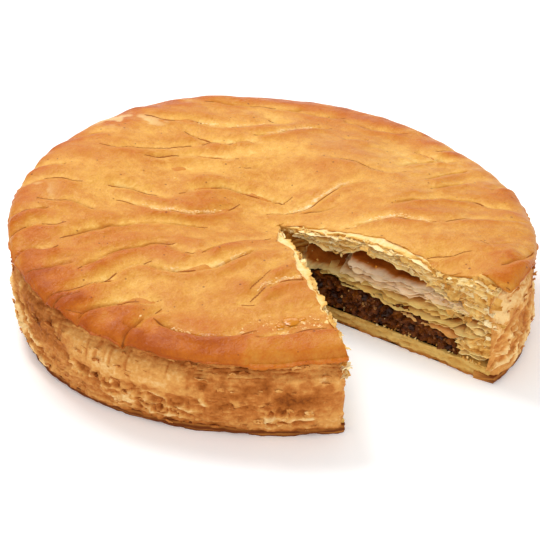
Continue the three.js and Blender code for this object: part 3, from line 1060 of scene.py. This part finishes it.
def hollow_depth(face, along, z, floor):
    """How far the hollows between the leaves run in behind a cut face."""
    seed = 101 + len(face.name)
    roof = roof_underside(along) + 0.5 * noise(along / 3, 1, seed=seed)
    inside = smooth(roof - z, -0.2, 1.6) * smooth(z - floor, -0.4, 1.2)
    end = HOLLOW_END + 3 * noise(z / 3.2, 2, seed=seed + 1)
    inside = inside * (1 - smooth(along, end - 8, end))
    deep = HOLLOW_DEPTH + 3 * noise(along / 14, z / 7, seed=seed + 2)
    # A small pocket of its own lies beyond the hollows, a little higher towards the rim.
    pocket = np.exp(-((along - HOLLOW_END) / 9) ** 4 - ((z - 22.5 - 0.1 * (along - 90)) / 3.1) ** 4)
    layer = np.floor((z + 0.8 * noise(along / 12, z / 9, seed=seed + 3)) / 1.5)
    ragged = 1.7 + 1.4 * noise(along / 7, layer * 3.3, seed=seed + 4)
    ragged = ragged + 0.8 * noise(along / 1.9, layer * 2.1, seed=seed + 5)
    ragged = ragged + 0.4 * noise(along / 0.8, z / 0.7, seed=seed + 6)
    return np.clip(ragged, 0.1, 5) + inside * deep + 9 * pocket * (1 - inside), inside


def make_inner_pastry(material):
    """The risen crumb between the filling and the glazed skin, with its cut faces."""
    turn = headings(1.2, 6.5)
    n, m, k = len(turn), 168, 84
    i, j, l, quads = block_skin(n, m, k)
    phi = turn[i]
    length = reach(phi) - 4.2
    share = 0.003 + 0.997 * j / (m - 1)
    along = share * length
    x, y = place(phi, along)
    at_cut = np.minimum(phi - FIRST_HEADING, LAST_HEADING - phi) * along
    top = lid_top(x, y)[0] - CRUST - 1.4 + 1.95 * smooth(10 - at_cut, 0, 3)
    top = top + 0.25 * noise(x / 4, y / 4, seed=121) - 1.5 * smooth(share, 0.93, 1)
    floor = np.maximum(filling_height(x, y) + 0.15, BASE_TOP + 0.2)
    rise = l / (k - 1)
    z = mix(floor, top, rise)
    angle = angle_about_centre(x, y)
    outer = wall_offset(angle, z, lip_height(angle))
    by_cut = 1 - smooth(at_cut, 0, 12)
    widen = smooth(share, 0.8, 1) * (outer + 0.6 + 1.4 * by_cut - 2.4 * np.exp(-at_cut / 3.0))
    x = x + widen * np.cos(phi)
    y = y + widen * np.sin(phi)
    bake = 0.30 - 0.14 * smooth(rise, 0.95, 1.0)
    for face, at in cut_ends(i):
        depth, inside = hollow_depth(face, along[at], z[at], floor[at])
        small = smooth(along[at], 0, 26)
        depth = mix(0.2, depth, smooth(along[at], 1, 9))
        depth = np.where(depth > 6, mix(6 + 0.3 * (depth - 6), depth, small), depth)
        # Close to the slice's point the hollow is shallow, so its torn back wall is seen.
        torn = inside * smooth(along[at], 0.5, 4) * (1 - smooth(along[at], 12, 24))
        strands = noise(along[at] / 5, z[at] / 1.1, seed=124)
        strands = strands + 0.6 * noise(along[at] / 1.6, z[at] / 1.3, seed=125)
        depth = depth + torn * np.clip(0.9 + 1.1 * strands, 0, 3)
        push_in(x, y, at, face, depth)
        crisp = 0.34 + 0.16 * noise(along[at] / 5, z[at] / 1.4, seed=123)
        below_top = top[at] - z[at]
        low_edge = 0.35 * smooth(6.5 - below_top, 0, 4) * smooth(2.5 - below_top, -1, 2)
        rim_tone = 0.12 * smooth(along[at], 92, 108)
        # Painted shade: darker at the back of the hollows, and a little darker where the face lies further
        # in.
        bake[at] = crisp + low_edge * 0.4 + rim_tone + 0.43 * inside + 0.04 * depth * (1 - inside)
        bake[at] -= 0.22 * torn * np.clip(strands, -1, 1)
        near = (phi > FIRST_HEADING) & (from_face(face, phi) < 0.5) & ~at
        back = 2.2 * np.exp(-face.depth_of(x[near], y[near]) / 7)
        push_in(x, y, near, face, back)
    # The narrow strip at the slice's point takes the tone of the cut face beside it.
    beside, strip = (j == 0) & (i == 0), j == 0
    order = np.argsort(z[beside])
    bake[strip] = np.interp(z[strip], z[beside][order], bake[beside][order])
    gathered = Gathered()
    gathered.add(np.stack([x, y, z], -1), [quads], bake=np.clip(bake, 0, 1.2))
    return gathered.piece("inner_pastry", material, "glazed_puff_pastry", ["top_pastry"])


# Leaves in the hollows: where each runs along the cut, its height at even steps along it, how far
# its front edge sits behind the cut, how much it lifts at the back, its thickness, its tint
# (0 pinkish cream, 1 yellow-green), how toasted its front is, and how dark its back is, which is painted
# shade.
LEAVES = [
    ((3, 33), (34.6, 34.2, 33.4, 32.4, 31.2), 3.5, 1.5, 0.7, 0.5, 0.45, 0.9),
    ((24, 80), (33.6, 39.6, 39.4, 38.6, 37.0, 34.2, 32.8), 2.8, 0.5, 0.9, 0.5, 0.25, 0.8),
    ((5, 42), (20.8, 21.4, 22.2, 22.8, 23.4), 1.2, 3.0, 0.8, 0.7, 0.06, 0.75),
    ((30, 80), (30.6, 29.0, 28.6, 29.6, 30.4, 30.6), 1.6, 3.0, 0.9, 0.0, 0.0, 0.8),
    ((31, 96), (29.0, 27.8, 27.6, 28.8, 29.9, 29.6, 28.8), 0.6, 3.0, 0.8, 0.1, 0.00, 0.4),
    ((29, 84), (27.2, 26.6, 26.4, 27.4, 28.6, 28.8), 1.2, 1.5, 0.8, 0.05, 0.04, 0.4),
    ((33, 100), (25.8, 25.4, 25.6, 26.4, 27.6, 28.2, 27.6), 0.4, 1.0, 0.7, 0.15, 0.05, 0.4),
    ((26, 70), (24.8, 24.4, 24.2, 24.6, 26.0), 1.0, 0.6, 0.7, 0.3, 0.08, 0.45),
    ((18, 90), (22.4, 22.8, 22.6, 22.2, 22.4, 23.0, 24.0), 0.5, 0.8, 0.8, 0.85, 0.06, 0.5),
    ((14, 88), (20.6, 21.2, 21.0, 20.4, 20.4, 21.0, 22.0), 1.4, 0.4, 0.7, 1.0, 0.12, 0.55),
    ((24, 92), (19.8, 19.6, 19.2, 18.6, 18.6, 19.2, 19.8), 0.3, 0.6, 0.8, 0.9, 0.10, 0.6),
    ((70, 104), (25.4, 26.6, 27.2, 27.6, 27.4), 0.4, 0.5, 1.0, 0.6, 0.08, 0.45),
    ((72, 104), (17.8, 17.4, 17.8, 18.4, 19.0), 0.3, 0.3, 0.9, 0.8, 0.12, 0.5),
    ((58, 90), (17.0, 16.4, 15.6, 14.8, 13.6), 0.8, 3.5, 0.7, 0.6, 0.42, 0.8),
]


def stacked_leaves(face):
    """More leaves: those packed between the hollows and the lid, and those fanned out at the rim."""
    rng = np.random.default_rng(31 + len(face.name))
    leaves = []
    along = np.linspace(4, face.length - 3, 9)
    flat = face.point(along, 1.0, 0.0)
    lid = even_lid(flat[:, 0], flat[:, 1]) - 1.9
    roof = np.where(along < HOLLOW_END, roof_underside(along), lid - 7)
    for share in (0.06, 0.36, 0.66, 0.94):
        heights = mix(roof, lid, share) + rng.normal(0, 0.25, 9)
        start, end = rng.uniform(3, 9), face.length - rng.uniform(5, 7)
        leaves.append(((start, end), heights, rng.uniform(0.2, 1.3), 0.2, rng.uniform(0.6, 1.0),
                       rng.uniform(0.35, 0.6), rng.uniform(0.0, 0.12), 0.35))
    for level in np.arange(8.0, 41.0, 2.6):
        start, end = rng.uniform(84, 93), face.length - rng.uniform(5, 7)
        if 14 < level < 29:
            start += 6
        dip = rng.uniform(-0.5, 2.2)
        heights = level + dip * np.array([1.0, 0.3, 0.0, 0.2, 0.8]) + rng.normal(0, 0.3, 5)
        leaves.append(((start, end), heights, rng.uniform(0.2, 1.6), 0.2, rng.uniform(0.7, 1.5),
                       rng.uniform(0.4, 0.8), rng.uniform(0.02, 0.22), 0.45))
    return leaves


def make_leaves(face, material):
    """Thin leaves of pastry in the hollows of a cut face, and stacked round them."""
    gathered = Gathered()
    seed = 200 if face.name == "right" else 260
    leaves = LEAVES + stacked_leaves(face)
    for number, (span, heights, front, lift, thickness, tint, crisp, deep) in enumerate(leaves):
        own = seed + number * 3
        # The leaves in the hollows show most, so they get the most points.
        stacked = number >= len(LEAVES)
        count = int(28 + 0.7 * (span[1] - span[0])) if stacked else 86
        rows = 10 if stacked else 17
        run = np.linspace(0, 1, count)
        along = mix(span[0], span[1], run)
        z_front = np.interp(run, np.linspace(0, 1, len(heights)), heights)
        ragged = front + 1.3 * noise(along / 7, 1, seed=own) + 0.6 * noise(along / 2.2, 2, seed=own)
        ragged = ragged + 0.55 * noise(along / 1.1, 3, seed=own)
        taper = np.ones(count) if stacked else smooth(run, 0, 0.10) * smooth(1 - run, 0, 0.10)
        start = np.clip(ragged, 0.0, 6) + 9 * (1 - taper)
        s, q = np.meshgrid(along, np.linspace(0, 1, rows) ** 1.4, indexing="ij")
        s = s + 1.6 * noise(q * 5, own, seed=own) * (1 - taper)[:, None]
        room = np.full(s.shape, 7.0) if stacked else np.minimum(25, 5 + 0.9 * s)
        depth = mix(start[:, None], np.maximum(room, start[:, None] + 2), q)
        behind = depth - start[:, None]
        ripple = 0.45 * noise(s / 8, depth / 7, seed=own + 1)
        ripple = ripple + 0.3 * noise(s / 2.6, depth / 2.4, seed=own + 2)
        curl = 0.9 * noise(s / 5, 4, seed=own + 1) * np.exp(-behind / 2.2)
        curl = curl + 0.3 * noise(s / 1.8, 5, seed=own + 1) * np.exp(-behind / 1.2)
        middle = z_front[:, None] + lift * q ** 1.3 + ripple + curl
        thin = thickness * (0.25 + 0.75 * smooth(behind, 0, 3))
        thin = thin * (0.75 + 0.35 * noise(s / 4, depth / 4, seed=own + 5))
        flat = face.point(s, depth, middle)
        rim = RIM_RADIUS * outline(angle_about_centre(flat[..., 0], flat[..., 1]))
        beyond = np.hypot(flat[..., 0] - CENTRE[0], flat[..., 1] - CENTRE[1]) - rim + 7.5
        s = s - np.clip(beyond, 0, None)
        flat = face.point(s, depth, middle)
        middle = np.minimum(middle, lid_top(flat[..., 0], flat[..., 1])[0] - CRUST - 0.2)
        upper = face.point(s, depth, middle + thin / 2)
        lower = face.point(s, depth, middle - thin / 2)
        # Painted shade: a leaf darkens the further it runs back into the hollow.
        shade = mix(crisp, deep, smooth(behind, 1.0, 6.5))
        shade = shade + 0.10 * noise(s / 4, depth / 3, seed=own + 6)
        add_sheet(gathered, upper, lower, tint=np.full(s.shape, tint), bake=np.clip(shade, 0, 1.2))
    return gathered.piece("leaves_" + face.name, material, "glazed_puff_pastry")


def circle_reach(heading, radius):
    """Distance from the slice's point to a circle about the pie's centre."""
    dx, dy = SLICE_POINT - CENTRE
    towards = dx * np.cos(heading) + dy * np.sin(heading)
    return -towards + np.sqrt(towards ** 2 + radius ** 2 - dx * dx - dy * dy)


def make_filling(material):
    """The filling, lumpy on top and bitten where the knife dragged crumbs out of it."""
    turn = headings(1.2, 6.5)
    n, m, k = len(turn), 180, 34
    i, j, l, quads = block_skin(n, m, k)
    phi = turn[i]
    share = 0.008 + 0.992 * j / (m - 1)
    along = share * (circle_reach(phi, FILLING_RADIUS) - 0.3)
    x, y = place(phi, along)
    rise = l / (k - 1)
    top = filling_height(x, y)
    z = mix(BASE_TOP + 0.1, top, rise)
    lumps = 0.9 * noise(x / 3.4, y / 3.4, seed=131) + 0.4 * noise(x / 1.5, y / 1.5, seed=132)
    z = z + np.where(rise > 0.9, lumps - 0.5, 0)
    tint = 0.42 + 0.2 * noise(x / 4, y / 4, z / 4, seed=133)
    for face, at in cut_ends(i):
        s, h = along[at], z[at]
        chunk, number = cells(s / 3.3, h / 2.9, seed=134 + len(face.name))
        bite = 1.7 + 0.9 * number + 0.7 * smooth(chunk, 0.3, 0.75)
        bite = bite + 1.0 * noise(s / 1.7, h / 1.3, seed=135) + 0.5 * noise(s / 0.7, h / 0.6, seed=136)
        bite = np.clip(bite, 0.1, 5)
        push_in(x, y, at, face, bite)
        tint[at] = 0.58 + 0.22 * number - 0.10 * bite + 0.14 * noise(s / 2, h / 2, seed=137)
    gathered = Gathered()
    gathered.add(np.stack([x, y, z], -1), [quads], tint=np.clip(tint, 0, 1))
    return gathered.piece("fruit_filling", material, "fruit_nut_filling", ["filling"])


def make_base(material):
    """The browned fold round the bottom sheet's edge, and the sheet itself."""
    edge_height = 3.4
    turn = headings(1.0, 0.62)
    level = np.linspace(0, 1, 15)
    phi, t = np.meshgrid(turn, level, indexing="ij")
    ex, ey = place(phi, reach(phi))
    angle = angle_about_centre(ex, ey)
    arc = np.unwrap(angle, axis=0) * RIM_RADIUS
    left = left_share(angle)
    z = t * edge_height
    fold = 0.55 * np.cos(2 * math.pi * (t * 2 + 0.2 * noise(arc / 18, 1, seed=141)))
    out = -FOOT_INSET - 2.0 * left + 0.9 * np.sin(math.pi * t) + 0.5 * fold
    out = out + 0.6 * noise(arc / 9, z / 2, seed=142) + 0.35 * noise(arc / 2.2, z / 1.2, seed=143)
    x, y = place(phi, reach(phi) + out)
    for face in FACES:
        x, y = press_in(x, y, phi, face, 0.8 + 0.5 * noise(z / 1.2, 2, seed=144), 4)
    outer = np.stack([x, y, z], -1)
    gathered = Gathered()
    rear_along = reach(turn) - FOOT_INSET - 9
    rx, ry = place(turn, rear_along)
    rear = [np.stack([rx, ry, np.full(rx.shape, h)], -1) for h in (edge_height, 0.0)]
    rear = np.stack(rear, axis=1)
    loops = np.concatenate([outer, rear], axis=1)
    toast = 0.66 + 0.4 * np.abs(np.cos(2 * math.pi * t))
    bake = np.concatenate([toast, np.full((len(turn), 2), 0.5)], axis=1)
    add_ring(gathered, loops, len(level), np.array([*level, 1.0, 0.0]), bake=bake)
    gathered.piece("base_edge", material, "base_pastry")

    turn = headings(1.0, 5.0)
    n, m, k = len(turn), 190, 16
    i, j, l, quads = block_skin(n, m, k)
    phi = turn[i]
    share = 0.008 + 0.992 * j / (m - 1)
    along = share * (reach(phi) - FOOT_INSET - 2.4)
    x, y = place(phi, along)
    rise = l / (k - 1)
    z = rise * (BASE_TOP - 0.1) + 0.05 + np.where(rise > 0.9, 0.2 * noise(x / 3, y / 3, seed=151), 0)
    bake = 0.30 + 0.5 * (1 - smooth(z, 0.4, 1.8))
    for face, at in cut_ends(i):
        s, h = along[at], z[at]
        layer = np.floor(h / 1.3)
        bite = 1.1 + 0.7 * noise(s / 8, layer * 3.1, seed=152) + 0.5 * noise(s / 2.1, h / 0.9, seed=153)
        bite = np.clip(bite + 0.2 * noise(s / 0.8, h / 0.6, seed=154), 0, 3)
        push_in(x, y, at, face, bite)
        bake[at] = 0.26 + 0.42 * (1 - smooth(h, 0.5, 2.0)) + 0.12 * noise(s / 6, h / 1.2, seed=155)
    gathered = Gathered()
    gathered.add(np.stack([x, y, z], -1), [quads], bake=np.clip(bake, 0, 1))
    return gathered.piece("base_sheet", material, "base_pastry", ["bottom_pastry"])


def ball(columns=12, rows=8):
    """A ball of radius 1: its points, quads and end triangles."""
    points = [(0, 0, -1)]
    for r in range(1, rows):
        tip = math.pi * r / rows - math.pi / 2
        for c in range(columns):
            around = 2 * math.pi * c / columns
            out = math.cos(tip)
            points.append((out * math.cos(around), out * math.sin(around), math.sin(tip)))
    points.append((0, 0, 1))
    quads = []
    for r in range(rows - 2):
        for c in range(columns):
            d = (c + 1) % columns
            quads.append((1 + r * columns + c, 1 + r * columns + d, 1 + (r + 1) * columns + d,
                          1 + (r + 1) * columns + c))
    ends = [(0, 1 + (c + 1) % columns, 1 + c) for c in range(columns)]
    start = 1 + (rows - 2) * columns
    ends += [(start + columns, start + c, start + (c + 1) % columns) for c in range(columns)]
    return np.array(points), np.array(quads), np.array(ends)


def turned(rng, points):
    """Points turned by a random amount about a random axis."""
    basis, _ = np.linalg.qr(rng.normal(size=(3, 3)))
    return points @ basis


def make_bits(name, material, slot, count, size, squash, wobble, columns, rows, seed, spots):
    """Lumps of one kind, set at the spots that spots(rng) gives; size is (smallest, largest)."""
    rng = np.random.default_rng(seed)
    shape, quads, ends = ball(columns, rows)
    gathered = Gathered()
    for _ in range(count):
        centre = spots(rng)
        across = rng.uniform(*size) / 2 * rng.uniform(0.7, 1.0)
        lump = shape * (1 + wobble * noise(shape[:, 0] * 1.4 + rng.uniform(0, 99),
                                          shape[:, 1] * 1.4, shape[:, 2] * 1.4, seed=seed))[:, None]
        lump = turned(rng, lump * across * np.array([1.0, rng.uniform(*squash), rng.uniform(*squash)]))
        gathered.add(lump + centre, [quads, ends], tint=rng.uniform(0, 1), bake=rng.uniform(0.1, 0.7))
    return gathered.piece(name, material, slot)


def some_face(rng):
    """A cut face at random, the right one more often."""
    return FACES[int(rng.random() < 0.4)]


def filling_spot(rng):
    """A place in a cut face's filling."""
    face = some_face(rng)
    along = rng.uniform(2, 88)
    flat = face.point(along, 0, 0)
    top = float(filling_height(flat[0], flat[1]))
    height = mix(BASE_TOP + 1.0, top - 0.8, rng.random() ** 0.8)
    return face.point(along, rng.uniform(0.8, 2.8), height)


def make_flakes(name, material, slot, count, size, seed, spots):
    """Thin curled flakes; spots(rng) gives each one's place, its outward side and its long side."""
    rng = np.random.default_rng(seed)
    gathered = Gathered()
    rows, columns = 6, 5
    p, q = np.meshgrid(np.linspace(-1, 1, rows), np.linspace(-1, 1, columns), indexing="ij")
    for _ in range(count):
        centre, outward, side, tone = spots(rng)
        length = rng.uniform(*size)
        width = length * rng.uniform(0.25, 0.6)
        jag = 1 + 0.35 * noise(p * 2.2 + rng.uniform(0, 99), q * 2.2, seed=seed)
        up = np.cross(outward, side)
        curl = rng.uniform(-0.35, 0.9) * length * 0.35
        bend = curl * (p ** 2) + rng.uniform(-0.2, 0.6) * width * q
        wave_out = bend + 0.12 * length * noise(p * 1.5 + rng.uniform(0, 99), q * 1.5, seed=seed + 1)
        middle = centre + (p * jag * length / 2)[..., None] * side + (q * jag * width / 2)[..., None] * up
        middle = middle + wave_out[..., None] * outward
        thickness = rng.uniform(0.16, 0.34)
        add_sheet(gathered, middle + thickness / 2 * outward, middle - thickness / 2 * outward,
                  bake=np.full(p.shape, tone + rng.uniform(-0.15, 0.2)), tint=np.full(p.shape, 0.5))
    return gathered.piece(name, material, slot)


def unit(vector):
    return vector / np.linalg.norm(vector)


def wall_spot(rng):
    """A place for a flake standing off the side wall."""
    phi = rng.uniform(FIRST_HEADING + 0.03, LAST_HEADING - 0.03)
    length = float(reach(phi))
    ex, ey = place(phi, length)
    angle = float(angle_about_centre(ex, ey))
    lip = float(lip_height(angle))
    z = lip * rng.choice([rng.uniform(0.08, 0.5), rng.uniform(0.6, 0.92)])
    x, y = place(phi, length + float(wall_offset(angle, z, lip)) + 0.7)
    outward = np.array([math.cos(angle), math.sin(angle), rng.uniform(-0.3, 0.2)])
    side = unit(np.array([-math.sin(angle), math.cos(angle), rng.uniform(-0.25, 0.25)]))
    return np.array([x, y, z]), unit(outward - side * outward.dot(side)), side, 0.35


def cut_spot(rng):
    """A place for a flake along the roof and rim of a cut face."""
    face = some_face(rng)
    along = rng.uniform(2, face.length - 4)
    flat = face.point(along, 0, 0)
    top = float(even_lid(flat[0], flat[1])) - 1.6
    low = float(roof_underside(along)) if along < 90 else 8.0
    z = mix(low, top, rng.random() ** 0.6)
    into = np.array([*face.into, 0.0])
    outward = unit(rng.uniform(-0.7, 0.7) * into + np.array([0, 0, 1.0]))
    side = unit(np.array([*face.along, 0.0]) + rng.uniform(-0.4, 0.4) * into)
    side = unit(side - outward * side.dot(outward))
    return face.point(along, rng.uniform(0.3, 2.4), z), outward, side, 0.22


def rim_spot(rng):
    """A place for a larger plate of crust or crumb, fanned out where the rim was cut through."""
    face = some_face(rng)
    along = rng.uniform(80, face.length - 2)
    flat = face.point(along, 0, 0)
    z = rng.uniform(25, float(even_lid(flat[0], flat[1])) - 1.5)
    into = np.array([*face.into, 0.0])
    outward = unit(rng.uniform(-0.9, 0.3) * into + np.array([0, 0, 1.0]))
    side = unit(np.array([*face.along, rng.uniform(-0.7, 0.1)]) + rng.uniform(-0.5, 0.5) * into)
    side = unit(side - outward * side.dot(outward))
    return face.point(along, rng.uniform(0.6, 1.8), z), outward, side, rng.choice([0.12, 0.3, 0.5])


def crumb_spot(rng):
    """A place for a crumb on the ledges of a cut face or on the base in front of the filling."""
    face = some_face(rng)
    along = rng.uniform(2, 106)
    return face.point(along, rng.uniform(0.2, 3.0), rng.choice([6.4, 7.0, rng.uniform(8, 36)]))


def lie_on(piece):
    """A function that finds the place on top of a piece at (x, y), and which way it faces there."""
    mesh = piece.data
    surface = BVHTree.FromPolygons([v.co for v in mesh.vertices], [f.vertices[:] for f in mesh.polygons])

    def find(x, y):
        spot, normal, _, _ = surface.ray_cast(Vector((x * MM, y * MM, 0.2)), Vector((0, 0, -1)))
        if spot is None:
            return None
        return np.array(spot) / MM, np.array(normal)
    return find


CUT_STEPS = 60          # straight steps that a knife cut's line is made of
MARK_STEP = 0.8         # length of one step of a dry mark
MARK_LIFT = 0.13        # how far its top lies above the crust
MARK_THICKNESS = 0.2


def on_knife_cut(number, share, aside=0.0):
    """A place along a knife cut, as the lid's shape has it, and the cut's direction there."""
    start, end, bow, sway = KNIFE_CUTS[number][:4]
    line = cut_line(start, end, bow, sway, CUT_STEPS + 1)
    steps = np.linspace(0, 1, CUT_STEPS + 1)
    u = np.interp(share, steps, line[:, 0])
    v = np.interp(share, steps, line[:, 1])
    step = int(share * CUT_STEPS)
    run = unit(line[min(CUT_STEPS, step + 1)] - line[max(0, step - 1)])
    v = v - float(wander(u, v))
    u, v = u - run[1] * aside, v + run[0] * aside
    return from_score_axes(u, v), run


def make_knife_marks(find, material):
    """The dry, browned bottoms of the knife cuts: thin, broken lines that lie on the crust."""
    gathered = Gathered()
    for number, (start, end, _, _, depth, _) in enumerate(KNIFE_CUTS):
        length = math.dist(start, end)
        count = int(length / MARK_STEP)
        rows = []
        for k in range(count + 1):
            share = k / count
            whole = 0.5 + 0.9 * float(noise(share * length / 6.5, 3.0 * number, seed=171))
            taper = math.sin(math.pi * min(share, 1 - share, 0.12) / 0.24)
            width = 0.30 * depth * max(0.0, min(1.0, whole)) * taper
            row = []
            if width > 0.06:
                for aside in (-width, 0.0, width):
                    (x, y), _ = on_knife_cut(number, share, aside)
                    found = find(x, y)
                    if found is not None:
                        row.append(found[0] + np.array([0, 0, MARK_LIFT]))
            rows.append(row if len(row) == 3 else None)
        run = []
        for row in rows + [None]:
            if row is not None:
                run.append(row)
                continue
            if len(run) > 2:
                upper = np.array(run)
                lower = upper - np.array([0, 0, MARK_THICKNESS])
                add_sheet(gathered, upper, lower, tint=np.zeros(upper.shape[:2]))
            run = []
    return gathered.piece("knife_marks", material, "glazed_puff_pastry")


def make_dried_egg(find, material):
    """Beads of egg that ran along the cuts and dried shiny, and one amber pool."""
    rng = np.random.default_rng(21)
    shape, quads, ends = ball(8, 6)
    gathered = Gathered()
    for number, (start, end, _, _, _, egg_shine_and_painted_highlight) in enumerate(KNIFE_CUTS):
        for _ in range(int(2.4 * egg_shine_and_painted_highlight ** 2 * math.dist(start, end))):
            share = rng.uniform(0.2, 0.9)
            (x, y), run = on_knife_cut(number, share, 1.3 + rng.normal(0, 0.55))
            found = find(x, y)
            if found is None or noise(np.array(share * 9), np.array(2.0 * number), seed=172) < -0.3:
                continue
            spot, normal = found
            side = np.array([*turn_to_frame(*run), 0.0])
            side = unit(side - normal * side.dot(normal))
            over = np.cross(normal, side)
            size = rng.uniform(0.2, 0.9), rng.uniform(0.13, 0.32), rng.uniform(0.07, 0.15)
            lump = sum(shape[:, k:k + 1] * size[k] * axis for k, axis in enumerate((side, over, normal)))
            gathered.add(lump + spot, [quads, ends], tint=rng.uniform(0, 0.35))
    for _ in range(90):
        u, v = rng.normal(7, 9), rng.normal(-88, 3.2)
        found = find(*from_score_axes(u, v))
        if found is not None:
            size = rng.uniform(0.25, 0.9)
            lump = turned(rng, shape * np.array([size, 0.5 * size, 0.5 * size])) * np.array([1, 1, 0.4])
            gathered.add(lump + found[0], [quads, ends], tint=rng.uniform(0, 0.5))
    for (u, v), size in AMBER_POOLS:
        found = find(*from_score_axes(u, v))
        if found is not None:
            edge = 1 + 0.3 * noise(shape[:, 0] * 1.3 + u, shape[:, 1] * 1.3, seed=173)
            lump = shape * edge[:, None] * np.array([size, size, 0.5])
            gathered.add(lump + found[0], [quads, ends], tint=1.0)
    return gathered.piece("dried_egg", material, "glazed_puff_pastry")


crust_material = egg_glazed_crust()
wall_material = flaky_wall()
crumb_material = flaky_crumb()
leaf_material = butter_leaf()
filling_material = fruit_crumb()
fruit_material = dried_fruit()
nut_material = chopped_nut()
base_material = base_pastry()

glazed_crust = make_crust(crust_material)
on_crust = lie_on(glazed_crust)
make_knife_marks(on_crust, browned_seam())
make_dried_egg(on_crust, egg_glaze())
make_wall(wall_material)
make_inner_pastry(crumb_material)
for cut_face in FACES:
    make_leaves(cut_face, leaf_material)
make_filling(filling_material)
make_base(base_material)
make_bits("fruit_pieces", fruit_material, "fruit_nut_filling", count=40, size=(3.0, 6.5),
          squash=(0.45, 0.8), wobble=0.7, columns=14, rows=9, seed=11, spots=filling_spot)
make_bits("nut_pieces", nut_material, "fruit_nut_filling", count=170, size=(0.7, 2.0),
          squash=(0.5, 0.9), wobble=0.5, columns=7, rows=5, seed=12, spots=filling_spot)
make_flakes("wall_flakes", wall_material, "glazed_puff_pastry", count=340, size=(0.9, 3.4),
            seed=13, spots=wall_spot)
make_flakes("cut_flakes", crumb_material, "glazed_puff_pastry", count=240, size=(0.8, 3.6),
            seed=14, spots=cut_spot)
make_flakes("rim_flakes", crumb_material, "glazed_puff_pastry", count=70, size=(2.4, 6.5),
            seed=16, spots=rim_spot)
make_bits("crumbs", crumb_material, "glazed_puff_pastry", count=150, size=(0.4, 1.8),
          squash=(0.4, 0.9), wobble=0.5, columns=6, rows=4, seed=15, spots=crumb_spot)


# ---- floor, light and camera ----

def floor():
    material, tree = new_material("pale_floor")
    tone = ramp(tree, grain(tree, 60, 2), [(0.0, "#FBFBFA"), (1.0, "#FFFFFF")])
    finish(tree, tone, 0.7, bumps(tree, [(grain(tree, 3, 2), 0.02)]), Specular_IOR_Level=0.2,
           Emission_Color=colour("#FFFFFF"), Emission_Strength=0.1)
    mesh = bpy.data.meshes.new("floor")
    half = 3.0      # half the floor's width, in metres
    around = [(-half, -half, 0), (half, -half, 0), (half, half, 0), (-half, half, 0)]
    mesh.from_pydata(around, [], [(0, 1, 2, 3)])
    mesh.materials.append(material)
    made = bpy.data.objects.new("floor", mesh)
    bpy.context.scene.collection.objects.link(made)


def from_camera(right, away, up):
    """The place so far to the viewer's right of the pie's centre, away and up, in metres."""
    return np.array([*from_score_axes(right, away), up]) * MM


def aim(thing, target):
    direction = Vector(target) - thing.location
    thing.rotation_euler = direction.to_track_quat("-Z", "Y").to_euler()


def softbox(name, where, target, size, watts, tint):
    lamp = bpy.data.lights.new(name, "AREA")
    lamp.shape = "RECTANGLE"
    lamp.size, lamp.size_y = size
    lamp.energy = watts
    lamp.color = colour(tint)[:3]
    made = bpy.data.objects.new(name, lamp)
    made.location = where
    bpy.context.scene.collection.objects.link(made)
    aim(made, target)


# Places as (right, away, up), in mm from the pie's centre as the viewer sees it.
CAMERA_PLACE, CAMERA_AIM = (0, -692.82, 420), (-1.96, -3.7, 13.6)
LENS, SENSOR = 125.3, 36
LAMPS = [
    # name, place, width and height in m, watts, tint
    ("key", (-300, 380, 860), (0.35, 0.35), 5.35, "#FFFFFF"),
    ("rear", (30, 950, 590), (0.7, 0.14), 1.5, "#FFF0DC"),
    ("front", (150, -900, 500), (0.9, 0.6), 2.6, "#FFFFFF"),
]
SKY_STRENGTH = 0.76


def stage():
    floor()
    world = bpy.data.worlds.new("studio")
    world.use_nodes = True
    background = world.node_tree.nodes["Background"]
    background.inputs["Color"].default_value = colour("#FFFFFF")
    background.inputs["Strength"].default_value = SKY_STRENGTH
    bpy.context.scene.world = world
    for name, where, size, watts, tint in LAMPS:
        softbox(name, from_camera(*where), from_camera(0, 0, 20), size, watts, tint)
    bpy.context.scene.view_settings.view_transform = "Standard"
    bpy.context.scene.view_settings.look = "None"

    camera = bpy.data.cameras.new("camera")
    camera.lens = LENS
    camera.sensor_width = SENSOR
    made = bpy.data.objects.new("camera", camera)
    made.location = from_camera(*CAMERA_PLACE)
    bpy.context.scene.collection.objects.link(made)
    aim(made, from_camera(*CAMERA_AIM))
    bpy.context.scene.camera = made


stage()
